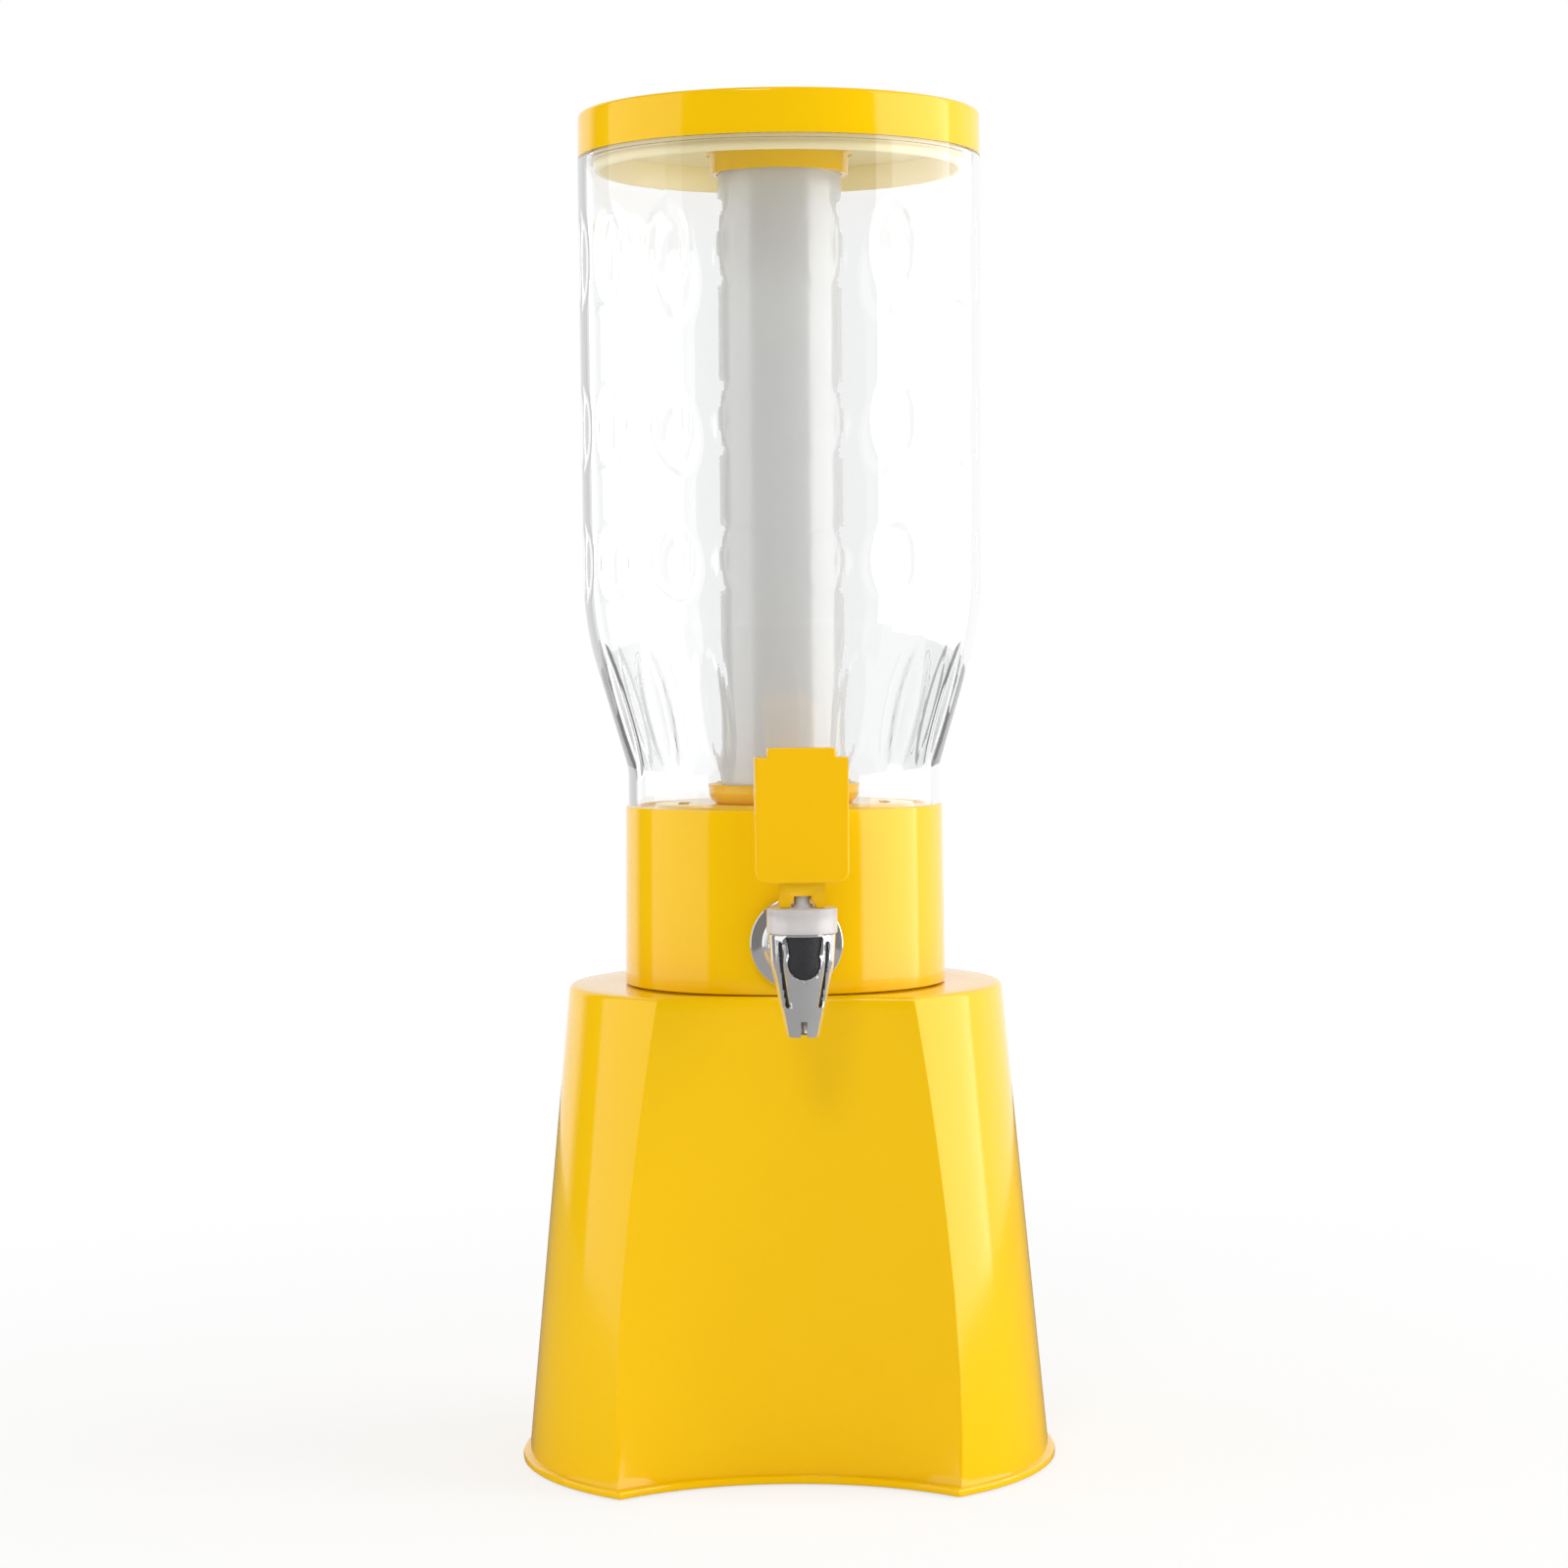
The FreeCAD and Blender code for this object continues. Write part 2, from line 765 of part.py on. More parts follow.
def ice_tube():
    top = tube_top_z()
    tube = cylinder(tube_r, tube_foot_z, top)
    foot_edges = [edge for edge in tube.Edges if edge.BoundBox.ZMax < tube_foot_z + 0.1 and edge.Closed]
    tube = tube.makeFillet(tube_floor / 2, foot_edges)
    tube = tube.cut(cylinder(tube_r - tube_wall, tube_foot_z + tube_floor, top))
    reach = tube_r + tube_lug_reach
    lug = sector(tube_r - 1, reach, top - tube_lug_height, top - tube_lug_drop, 0, tube_lug_deg)
    return tube.fuse(around(lug, tube_lug_count)).removeSplitter()


# Tap


def tap_saddle():
    """The soft washer between the round collar and the tap's flat flange."""
    saddle = forward(ring(shank_r, saddle_r, collar_foot_r - collar_wall, saddle_front))
    return at_tap(saddle.cut(collar_outside()))


def tap_flange():
    back, front = saddle_front, flange_front
    face = turned(
        [
            (shank_r, back),
            (flange_r, back),
            (flange_r, back + flange_edge),
            (flange_hub_r, back + flange_edge + flange_bevel),
            (flange_hub_r - flange_hub_bevel, front),
            (shank_r, front),
        ]
    )
    return at_tap(forward(face))


def tap_washer():
    return at_tap(forward(ring(shank_r, washer_r, tap_boss_back - washer_thickness, tap_boss_back)))


def lock_nut():
    high = tap_boss_back - washer_thickness
    low = high - nut_thickness
    corner_r = nut_across_flats / math.sqrt(3)
    corners = [math.radians(60 * index) for index in range(7)]
    outline = Part.makePolygon([Vector(corner_r * math.cos(a), corner_r * math.sin(a), low) for a in corners])
    nut = Part.Face(outline).extrude(Vector(0, 0, nut_thickness))
    return at_tap(forward(nut.cut(cylinder(shank_r, low, high))))


def nozzle_solid(inset):
    """The nozzle's outer shape about the Z axis: a cone from the spout, rounded into a near straight top."""
    cone_r = nozzle_shoulder_r - inset
    cone = (cone_r - spout_r + inset) / (nozzle_shoulder_z - spout_foot_z)
    slope = math.atan(cone)
    upper = math.atan((nozzle_top_r - nozzle_shoulder_r) / (nozzle_top_z - nozzle_shoulder_z))
    reach = nozzle_round * math.tan((slope - upper) / 2)
    low = (cone_r - reach * math.sin(slope), nozzle_shoulder_z - reach * math.cos(slope))
    high = (cone_r + reach * math.sin(upper), nozzle_shoulder_z + reach * math.cos(upper))
    middle_deg = (slope + upper) / 2
    chord = ((low[0] + high[0]) / 2, (low[1] + high[1]) / 2)
    sag = nozzle_round * (1 - math.cos((slope - upper) / 2))
    middle = (chord[0] + sag * math.cos(middle_deg), chord[1] - sag * math.sin(middle_deg))
    edges = section([(0, spout_foot_z), (spout_r - inset, spout_foot_z), low])
    edges.append(arc(low, middle, high))
    edges += section([high, (nozzle_top_r - inset, nozzle_top_z), (0, nozzle_top_z), (0, spout_foot_z)])
    return spin(edges)


def shield_prism():
    """The shield's outline, straight across its top and rounded below, run forward through the nozzle's front."""
    y = 0
    top_left = Vector(-shield_half_top, y, shield_top_z)
    top_right = Vector(shield_half_top, y, shield_top_z)
    side_left = Vector(-shield_half_middle, y, shield_middle_z)
    side_right = Vector(shield_half_middle, y, shield_middle_z)
    foot = Vector(0, y, shield_foot_z)
    edges = [
        Part.LineSegment(side_left, top_left).toShape(),
        Part.LineSegment(top_left, top_right).toShape(),
        Part.LineSegment(top_right, side_right).toShape(),
        Part.Arc(side_right, foot, side_left).toShape(),
    ]
    return Part.Face(Part.Wire(edges)).extrude(Vector(0, -BIG / 2, 0))


def side_grooves():
    """Cutters for the two grooves that run down the nozzle beside the shield."""
    length = groove_high_z - groove_low_z
    cutter = bar(groove_width, BIG / 4, groove_low_z + groove_width / 2, groove_high_z - groove_width / 2, -BIG / 8)
    for z in (groove_low_z + groove_width / 2, groove_low_z + length - groove_width / 2):
        end = Part.makeCylinder(groove_width / 2, BIG / 4, Vector(0, 0, z), Vector(0, -1, 0))
        cutter = cutter.fuse(end)
    left, right = cutter.copy(), cutter.copy()
    left.rotate(ORIGIN, UP, -groove_deg)
    right.rotate(ORIGIN, UP, groove_deg)
    return [left, right]


def tap_body():
    """Spout, valve chamber, arm and threaded shank, moulded in one piece."""
    nozzle = nozzle_solid(0)
    nozzle = nozzle.fuse(cylinder(neck_r, nozzle_top_z - 1, nozzle_top_z + neck_height))
    recess = shield_prism().cut(nozzle_solid(shield_recess + shield_thickness))
    nozzle = nozzle.cut(recess)
    core = nozzle_solid(groove_depth)
    for cutter in side_grooves():
        nozzle = nozzle.cut(cutter.cut(core))
    nozzle = at_nozzle(nozzle)
    shank = forward(cylinder(shank_r, shank_back, flange_front))
    hub = forward(
        turned(
            [
                (0, flange_front),
                (body_hub_r, flange_front),
                (body_hub_r, flange_front + 1.5),
                (arm_r, arm_start),
                (arm_r, nozzle_reach),
                (0, nozzle_reach),
            ]
        )
    )
    body = nozzle.fuse([shank, hub.cut(at_nozzle(cylinder(chamber_r, spout_foot_z, nozzle_top_z)))])
    chamber = turned(
        [
            (0, spout_foot_z - 1),
            (spout_bore_r, spout_foot_z - 1),
            (spout_bore_r, seat_z),
            (chamber_low_r, seat_z),
            (chamber_r, chamber_low_z),
            (chamber_r, nozzle_top_z + neck_height + 1),
            (0, nozzle_top_z + neck_height + 1),
        ]
    )
    body = body.cut(at_nozzle(chamber))
    body = body.cut(forward(cylinder(arm_bore_r, shank_back - 1, nozzle_reach - chamber_r / 2)))
    notch_high = spout_foot_z + spout_notch_height
    notch = bar(spout_notch_width, spout_r * 2, spout_foot_z - 1, notch_high, -spout_r - spout_bore_r / 2)
    body = body.cut(at_nozzle(notch))
    return at_tap(body.removeSplitter())


def nozzle_insert():
    insert = shield_prism().common(nozzle_solid(shield_recess))
    insert = insert.cut(nozzle_solid(shield_recess + shield_thickness))
    return at_tap(at_nozzle(insert))


def bonnet_ceiling():
    return bonnet_top_z - bonnet_top_wall


def bonnet():
    bore = neck_r + bonnet_thread_gap
    ceiling = bonnet_ceiling()
    hole = stem_r + stem_gap
    boss_top = bonnet_top_z + bonnet_boss_height
    cap = turned(
        [
            (bore, nozzle_top_z),
            (bonnet_r, nozzle_top_z),
            (bonnet_r, bonnet_top_z - bonnet_round),
            (bonnet_r - bonnet_round, bonnet_top_z),
            (bonnet_boss_r, bonnet_top_z),
            (bonnet_boss_r, boss_top),
            (hole, boss_top),
            (hole, ceiling),
            (bore, ceiling),
        ]
    )
    return at_tap(at_nozzle(cap))


def valve_stem():
    """A rod with a flat head inside the diaphragm and a round eye in the handle."""
    rod = cylinder(stem_r, stem_head_z, pin_z)
    head = cylinder(stem_head_r, stem_head_z, stem_head_z + stem_head_height)
    eye = Part.makeSphere(stem_r, Vector(0, 0, pin_z))
    stem = rod.fuse([head, eye]).removeSplitter()
    hole = Part.makeCylinder(pin_r, BIG, Vector(-BIG / 2, 0, pin_z), Vector(1, 0, 0))
    return at_tap(at_nozzle(stem.cut(hole)))


def handle_pin():
    half = prong_half_width - stem_room
    pin = Part.makeCylinder(pin_r, 2 * half, Vector(-half, 0, pin_z), Vector(1, 0, 0))
    return at_tap(at_nozzle(pin))


def valve_diaphragm():
    """A soft cup round the stem: its sole shuts the spout, and its flange is clamped under the bonnet."""
    inner = diaphragm_r - diaphragm_wall
    clamp_z = nozzle_top_z + neck_height
    cup = turned(
        [
            (0, seat_z),
            (diaphragm_sole_r, seat_z),
            (diaphragm_r, seat_z + 2),
            (diaphragm_r, clamp_z),
            (neck_r, clamp_z),
            (neck_r, clamp_z + diaphragm_flange),
            (inner, clamp_z + diaphragm_flange),
            (inner, stem_head_z),
            (0, stem_head_z),
        ]
    )
    return at_tap(at_nozzle(cup))


def arc_from_tangent(start, tangent, end):
    """The arc that leaves start along a unit tangent and runs to end."""
    chord = end - start
    reach = chord.Length / 2
    lean = chord.dot(tangent) / chord.Length
    corner = start + tangent * (reach / lean)
    middle = (start + corner * (2 * lean) + end) * (1 / (2 + 2 * lean))
    return Part.Arc(start, middle, end).toShape()


def biarc(start, start_tangent, end, end_tangent):
    """Two arcs that join two points smoothly, with the given unit tangents at their ends."""
    across = end - start
    both = start_tangent + end_tangent
    bend = 2 * (1 - start_tangent.dot(end_tangent))
    along = across.dot(both)
    reach = (math.sqrt(along**2 + bend * across.dot(across)) - along) / bend
    middle = (start + end + (start_tangent - end_tangent) * reach) * 0.5
    second = arc_from_tangent(end, end_tangent * -1, middle)
    return [arc_from_tangent(start, start_tangent, middle), second]


def valve_spring():
    low = stem_head_z + stem_head_height + spring_wire_r + spring_end_gap
    high = bonnet_ceiling() - spring_wire_r - spring_end_gap
    quarters = spring_turns * 4
    rise = (high - low) / (spring_turns * 2 * math.pi)
    slant = math.hypot(spring_r, rise)
    places, tangents = [], []
    for index in range(quarters + 1):
        angle = index * math.pi / 2
        places.append(Vector(spring_r * math.cos(angle), spring_r * math.sin(angle), low + rise * angle))
        tangents.append(Vector(-spring_r * math.sin(angle), spring_r * math.cos(angle), rise) * (1 / slant))
    edges = []
    for index in range(quarters):
        edges += biarc(places[index], tangents[index], places[index + 1], tangents[index + 1])
    circle = Part.makeCircle(spring_wire_r, places[0], tangents[0])
    wire = Part.Wire(edges).makePipeShell([Part.Wire(circle)], True, False)
    return at_tap(at_nozzle(wire))


def handle_outline():
    """The handle's face seen from the front: a paddle with rounded lower corners and a low tab on top."""
    w, low, high = handle_half_width, handle_foot_z, handle_top_z
    tab_w, tab_z = tab_half_width, handle_top_z + tab_height
    corner, small = handle_corner_r, tab_corner_r

    def place(x, z):
        return Vector(x, 0, z)

    def bend(x, z, radius, side, up):
        """A quarter arc in the corner of x and z, as its start, middle and end."""
        share = radius * (1 - math.sqrt(0.5))
        return place(x - side * radius, z), place(x - side * share, z - up * share), place(x, z - up * radius)

    right_low = bend(w, low, corner, 1, -1)
    right_tab = bend(tab_w, tab_z, small, 1, 1)
    left_tab = bend(-tab_w, tab_z, small, -1, 1)
    left_low = bend(-w, low, corner, -1, -1)
    return [
        Part.Arc(*right_low).toShape(),
        Part.LineSegment(right_low[2], place(w, high)).toShape(),
        Part.LineSegment(place(w, high), place(tab_w, high)).toShape(),
        Part.LineSegment(place(tab_w, high), right_tab[2]).toShape(),
        Part.Arc(*right_tab).toShape(),
        Part.LineSegment(right_tab[0], left_tab[0]).toShape(),
        Part.Arc(*left_tab).toShape(),
        Part.LineSegment(left_tab[2], place(-tab_w, high)).toShape(),
        Part.LineSegment(place(-tab_w, high), place(-w, high)).toShape(),
        Part.LineSegment(place(-w, high), left_low[2]).toShape(),
        Part.Arc(*left_low).toShape(),
        Part.LineSegment(left_low[0], right_low[0]).toShape(),
    ]


def stem_sweep():
    """The room that the upright stem needs inside the handle as the handle tips forward."""
    room = stem_r + stem_room
    angle = math.radians(tilt_deg + 2)
    length = pin_z - bonnet_top_z + 2
    sweep = bar(2 * room, 2 * room, pin_z - length, pin_z)
    steps = 3
    for step in range(1, steps + 1):
        slab = bar(2 * room, 2 * room, -length * 1.5, 0)
        slab.rotate(ORIGIN, Vector(1, 0, 0), -math.degrees(angle) * step / steps)
        slab.translate(Vector(0, 0, pin_z))
        sweep = sweep.fuse(slab)
    eye = Part.makeCylinder(room, 2 * room, Vector(-room, 0, pin_z), Vector(1, 0, 0))
    return sweep.fuse(eye)


def tap_handle():
    face = Part.Face(Part.Wire(handle_outline()))
    paddle = face.extrude(Vector(0, handle_depth, 0))
    paddle.translate(Vector(0, -handle_depth / 2, 0))
    flat = [edge for edge in paddle.Edges if edge.BoundBox.YLength < 0.01]
    paddle = paddle.makeFillet(handle_round / 2, flat)
    foot = bonnet_top_z + prong_gap
    neck = bar(2 * prong_half_width, 2 * prong_half_depth, foot, handle_foot_z + 2)
    arch = Part.makeCylinder(arch_r, BIG, Vector(0, -BIG / 2, foot - arch_drop), Vector(0, 1, 0))
    hole = Part.makeCylinder(pin_r + pin_gap, BIG, Vector(-BIG / 2, 0, pin_z), Vector(1, 0, 0))
    handle = paddle.fuse(neck).removeSplitter()
    handle = handle.cut([arch, stem_sweep(), hole])
    return at_tap(at_nozzle(handle))


PIECES = (
    base_shell,
    foot_pads,
    collar_cup,
    tube_seat,
    tank,
    tank_gasket,
    tap_saddle,
    tap_flange,
    tap_washer,
    lock_nut,
    tap_body,
    nozzle_insert,
    bonnet,
    lid_cover,
    lid_plug,
    lid_seal,
    tube_holder,
    tube_seal,
    ice_tube,
    valve_stem,
    handle_pin,
    valve_diaphragm,
    valve_spring,
    tap_handle,
)


def main():
    os.makedirs("parts", exist_ok=True)
    for piece in PIECES:
        name = piece.__name__
        shape = piece()
        shape.exportStep(os.path.join("parts", name + ".step"))
        state = "closed" if shape.isValid() else "NOT VALID"
        print(f"{name}: {len(shape.Solids)} solid, {shape.Volume / 1000:.2f} cm3, {state}")


if __name__ == "__main__":
    main()
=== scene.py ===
"""Dresses a beer tower: clear dimpled tank, glossy yellow mouldings, frosted ice tube and chrome tap.

Metres, in the frame's own axes: Z up, the origin on the tower's axis at the table, -Y to the front.
"""

import math

import bpy
from mathutils import Matrix, Vector


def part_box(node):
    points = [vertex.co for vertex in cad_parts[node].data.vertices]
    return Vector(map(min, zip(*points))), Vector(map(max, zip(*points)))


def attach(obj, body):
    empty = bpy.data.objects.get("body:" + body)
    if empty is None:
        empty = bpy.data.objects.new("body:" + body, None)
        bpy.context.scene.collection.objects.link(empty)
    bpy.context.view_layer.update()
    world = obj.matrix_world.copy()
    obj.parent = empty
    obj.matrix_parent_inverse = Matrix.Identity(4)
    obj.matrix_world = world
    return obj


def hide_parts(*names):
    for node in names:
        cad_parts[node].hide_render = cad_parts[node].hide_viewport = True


bl_info = {
    "name": "Beer tower dispenser",
    "version": (1, 0, 0),
    "blender": (4, 5, 0),
    "location": "View3D > Sidebar > Tower",
    "description": "Builds the visible pieces of a beer tower dispenser round its packed frame",
    "category": "Object",
}

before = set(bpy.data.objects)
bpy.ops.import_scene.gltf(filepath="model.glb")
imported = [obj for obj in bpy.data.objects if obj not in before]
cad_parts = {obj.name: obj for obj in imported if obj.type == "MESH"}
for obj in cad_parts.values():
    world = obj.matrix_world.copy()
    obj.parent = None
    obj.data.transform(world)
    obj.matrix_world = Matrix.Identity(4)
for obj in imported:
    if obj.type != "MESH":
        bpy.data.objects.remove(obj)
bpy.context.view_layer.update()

MM = 0.001
FULL_TURN = 2 * math.pi


def low_of(node):
    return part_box(node)[0]


def high_of(node):
    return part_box(node)[1]


# Sizes and colours


class TowerSizes(bpy.types.PropertyGroup):
    base_foot_radius: bpy.props.FloatProperty(
        name="Base foot radius",
        description="Outside of the base's wall at the table",
        default=93.0 * MM,
        unit="LENGTH",
    )
    base_top_radius: bpy.props.FloatProperty(
        name="Base top radius",
        description="Outside of the base's wall at the shoulder",
        default=77.0 * MM,
        unit="LENGTH",
    )
    base_height: bpy.props.FloatProperty(
        name="Base height",
        description="Height of the shoulder",
        default=high_of("base_shell").z,
        unit="LENGTH",
    )
    base_wall: bpy.props.FloatProperty(
        name="Base wall",
        description="Thickness of the base's wall",
        default=2.6 * MM,
        unit="LENGTH",
    )
    rim_radius: bpy.props.FloatProperty(
        name="Rim radius",
        description="Outside of the lip round the foot",
        default=high_of("base_shell").x,
        unit="LENGTH",
    )
    collar_foot_radius: bpy.props.FloatProperty(
        name="Collar foot radius",
        description="Collar's outside above the shoulder",
        default=57.0 * MM,
        unit="LENGTH",
    )
    collar_top_radius: bpy.props.FloatProperty(
        name="Collar top radius",
        description="Collar's outside at its rim",
        default=56.4 * MM,
        unit="LENGTH",
    )
    collar_top: bpy.props.FloatProperty(
        name="Collar top",
        description="Height of the collar's rim",
        default=high_of("collar_cup").z,
        unit="LENGTH",
    )
    tank_radius: bpy.props.FloatProperty(
        name="Tank radius",
        description="Outside of the tank under the lid",
        default=high_of("tank").x,
        unit="LENGTH",
    )
    tank_wall: bpy.props.FloatProperty(
        name="Tank wall",
        description="Thickness of the tank's wall",
        default=2.5 * MM,
        unit="LENGTH",
    )
    dimple_depth: bpy.props.FloatProperty(
        name="Dimple depth",
        description="Depth of the oval dimples",
        default=1.0 * MM,
        unit="LENGTH",
    )
    dimple_width: bpy.props.FloatProperty(
        name="Dimple width",
        description="Width of the oval dimples",
        default=19.3 * MM,
        unit="LENGTH",
    )
    flute_depth: bpy.props.FloatProperty(
        name="Flute depth",
        description="Depth of the flutes round the neck",
        default=0.8 * MM,
        unit="LENGTH",
    )
    lid_radius: bpy.props.FloatProperty(
        name="Lid radius",
        description="Outside of the lid",
        default=71.4 * MM,
        unit="LENGTH",
    )
    tap_turn: bpy.props.FloatProperty(
        name="Tap turn",
        description="Turn of the tap from the scoop's middle",
        default=math.radians(3.8),
        unit="ROTATION",
    )


class TowerColours(bpy.types.PropertyGroup):
    shell: bpy.props.FloatVectorProperty(
        name="Shell",
        description="Yellow of the base, collar and lid",
        subtype="COLOR",
        size=3,
        default=(0.96, 0.575, 0.0),
    )
    handle: bpy.props.FloatVectorProperty(
        name="Handle",
        description="Yellow of the tap's handle",
        subtype="COLOR",
        size=3,
        default=(0.96, 0.54, 0.0),
    )
    tank: bpy.props.FloatVectorProperty(
        name="Tank",
        description="Tint of the clear plastic",
        subtype="COLOR",
        size=3,
        default=(0.985, 0.988, 0.99),
    )
    tube: bpy.props.FloatVectorProperty(
        name="Ice tube",
        description="Frosted white of the tube",
        subtype="COLOR",
        size=3,
        default=(0.88, 0.88, 0.87),
    )
    chrome: bpy.props.FloatVectorProperty(
        name="Chrome",
        description="Colour of the plated tap",
        subtype="COLOR",
        size=3,
        default=(0.90, 0.90, 0.91),
    )
    floor: bpy.props.FloatVectorProperty(
        name="Floor",
        description="Colour of the floor",
        subtype="COLOR",
        size=3,
        default=(0.95, 0.95, 0.95),
    )


def sizes():
    return bpy.context.scene.tower_sizes


def colours():
    return bpy.context.scene.tower_colours


# Materials


class Value:
    """A shader socket that takes part in Python arithmetic."""

    def __init__(self, recipe, socket):
        self.recipe = recipe
        self.socket = socket

    def maths(self, operation, first, second=0.0):
        return self.recipe.node("ShaderNodeMath", {"operation": operation}, {0: first, 1: second})

    def __add__(self, other):
        return self.maths("ADD", self, other)

    __radd__ = __add__

    def __sub__(self, other):
        return self.maths("SUBTRACT", self, other)

    def __rsub__(self, other):
        return self.maths("SUBTRACT", other, self)

    def __mul__(self, other):
        return self.maths("MULTIPLY", self, other)

    __rmul__ = __mul__

    def __gt__(self, other):
        return self.maths("GREATER_THAN", self, other)


class Recipe:
    """The nodes of one material, or of the world."""

    def __init__(self, owner):
        self.owner = owner
        owner.use_nodes = True
        self.tree = owner.node_tree
        self.tree.nodes.clear()

    def node(self, kind, settings=None, inputs=None, output=0):
        made = self.tree.nodes.new(kind)
        for key, setting in (settings or {}).items():
            setattr(made, key, setting)
        for key, given in (inputs or {}).items():
            if isinstance(given, Value):
                self.tree.links.new(given.socket, made.inputs[key])
            else:
                made.inputs[key].default_value = given
        return Value(self, made.outputs[output])

    def place(self):
        return self.node("ShaderNodeTexCoord", output="Object")

    def noise(self, scale, detail=3.0, roughness=0.5):
        inputs = {"Vector": self.place(), "Scale": scale, "Detail": detail, "Roughness": roughness}
        return self.node("ShaderNodeTexNoise", inputs=inputs)

    def spots(self, scale, size):
        """1 in small round spots, 0 elsewhere."""
        far = self.node("ShaderNodeTexVoronoi", inputs={"Vector": self.place(), "Scale": scale})
        return 1.0 - (far > size)

    def blend(self, factor, first, second):
        """Mixes two colours by a value that varies over the surface."""
        inputs = {MIX_FACTOR: factor, MIX_FIRST: rgba(first), MIX_SECOND: rgba(second)}
        return self.node("ShaderNodeMix", {"data_type": "RGBA"}, inputs, MIX_RESULT)

    def ray(self, kind):
        return self.node("ShaderNodeLightPath", output=kind)

    def ramp(self, value, low, high, at_low, at_high):
        """Eases from one level to another as the value goes from low to high."""
        inputs = {"Value": value, "From Min": low, "From Max": high, "To Min": at_low, "To Max": at_high}
        return self.node("ShaderNodeMapRange", {"interpolation_type": "SMOOTHSTEP"}, inputs)

    def bump(self, height, strength, distance):
        inputs = {"Height": height, "Strength": strength, "Distance": distance}
        return self.node("ShaderNodeBump", inputs=inputs)

    def surface(self, shader, output="ShaderNodeOutputMaterial"):
        out = self.tree.nodes.new(output)
        self.tree.links.new(shader.socket, out.inputs["Surface"])
        return self.owner


# Sockets of the Mix node when it mixes colours, which share their names with its other sockets
MIX_FACTOR = 0
MIX_FIRST = 6
MIX_SECOND = 7
MIX_RESULT = 2


def material_recipe(name):
    return Recipe(bpy.data.materials.new(name))


def rgba(colour):
    if isinstance(colour, Value):
        return colour
    return (*colour[:3], 1.0)


def scaled(colour, factor):
    return tuple(channel * factor for channel in colour)


def moulded_gloss(name, colour, roughness=0.1, waviness=0.05):
    """Glossy moulded plastic: faint flow marks in the colour, fine scuffs and soft waves in the gloss."""
    recipe = material_recipe(name)
    cloud = recipe.noise(18.0)
    scuffs = recipe.noise(900.0, 2.0)
    specks = recipe.spots(260.0, 0.035)
    base = recipe.blend(cloud, scaled(colour, 0.97), scaled(colour, 1.02))
    base = recipe.blend(specks * 0.25, base, scaled(colour, 0.55))
    gloss = scuffs * 0.05 + cloud * 0.04 + (roughness - 0.045)
    wave = recipe.noise(38.0, 1.0)
    peel = recipe.noise(1400.0, 1.0)
    height = wave * waviness + peel * 0.002
    shader = recipe.node(
        "ShaderNodeBsdfPrincipled",
        inputs={
            "Base Color": base,
            "Roughness": gloss,
            "IOR": 1.5,
            "Specular IOR Level": 0.45,
            "Normal": recipe.bump(height, 0.35, 0.002),
        },
    )
    return recipe.surface(shader)


def clear_plastic(name, tint, roughness=0.01, ior=1.5):
    """Clear moulded plastic with slight waves and fine scuffs, which light from the room passes."""
    recipe = material_recipe(name)
    wave = recipe.noise(30.0, 1.0)
    scuffs = recipe.noise(700.0, 2.0)
    glass = recipe.node(
        "ShaderNodeBsdfPrincipled",
        inputs={
            "Base Color": recipe.blend(wave, tint, scaled(tint, 0.995)),
            "Roughness": scuffs * 0.012 + roughness,
            "IOR": ior,
            "Transmission Weight": 1.0,
            "Normal": recipe.bump(wave, 0.08, 0.0006),
        },
    )
    shade = recipe.node("ShaderNodeBsdfTransparent", inputs={"Color": rgba(scaled(tint, 0.97))})
    through = recipe.ray("Is Transmission Ray")
    bounced = recipe.ray("Is Diffuse Ray") + recipe.ray("Is Glossy Ray") * (1.0 - through)
    passing = recipe.ray("Is Shadow Ray") + bounced
    mixed = recipe.node("ShaderNodeMixShader", inputs={0: passing, 1: glass, 2: shade})
    return recipe.surface(mixed)


def milky_plastic(name, colour, through, roughness, ior=1.49, gloss=0.5):
    """Milky plastic or silicone: a satin skin over a body that lets some light through."""
    recipe = material_recipe(name)
    cloud = recipe.noise(25.0)
    grain = recipe.noise(1600.0, 2.0)
    shader = recipe.node(
        "ShaderNodeBsdfPrincipled",
        inputs={
            "Base Color": recipe.blend(cloud, scaled(colour, 0.98), scaled(colour, 1.02)),
            "Roughness": grain * 0.1 + (roughness - 0.05),
            "IOR": ior,
            "Specular IOR Level": gloss,
            "Transmission Weight": through,
            "Normal": recipe.bump(grain, 0.08, 0.0002),
        },
    )
    return recipe.surface(shader)


def chrome_plate(name, colour):
    """Bright plated plastic with a faint haze and fine wipe marks."""
    recipe = material_recipe(name)
    haze = recipe.noise(160.0)
    marks = recipe.noise(1500.0, 2.0)
    shader = recipe.node(
        "ShaderNodeBsdfPrincipled",
        inputs={
            "Base Color": recipe.blend(haze, scaled(colour, 0.96), colour),
            "Metallic": 0.8,
            "Roughness": haze * 0.04 + marks * 0.02 + 0.07,
            "Normal": recipe.bump(haze, 0.08, 0.0003),
        },
    )
    return recipe.surface(shader)


def grained_plastic(name, colour, roughness, grain_scale, grain_depth=0.3):
    """Matt plastic or rubber with a fine moulded grain."""
    recipe = material_recipe(name)
    grain = recipe.node(
        "ShaderNodeTexVoronoi", inputs={"Vector": recipe.place(), "Scale": grain_scale}
    )
    cloud = recipe.noise(60.0)
    shader = recipe.node(
        "ShaderNodeBsdfPrincipled",
        inputs={
            "Base Color": recipe.blend(cloud, scaled(colour, 0.9), scaled(colour, 1.08)),
            "Roughness": cloud * 0.1 + (roughness - 0.05),
            "Normal": recipe.bump(grain, grain_depth, 0.0003),
        },
    )
    return recipe.surface(shader)


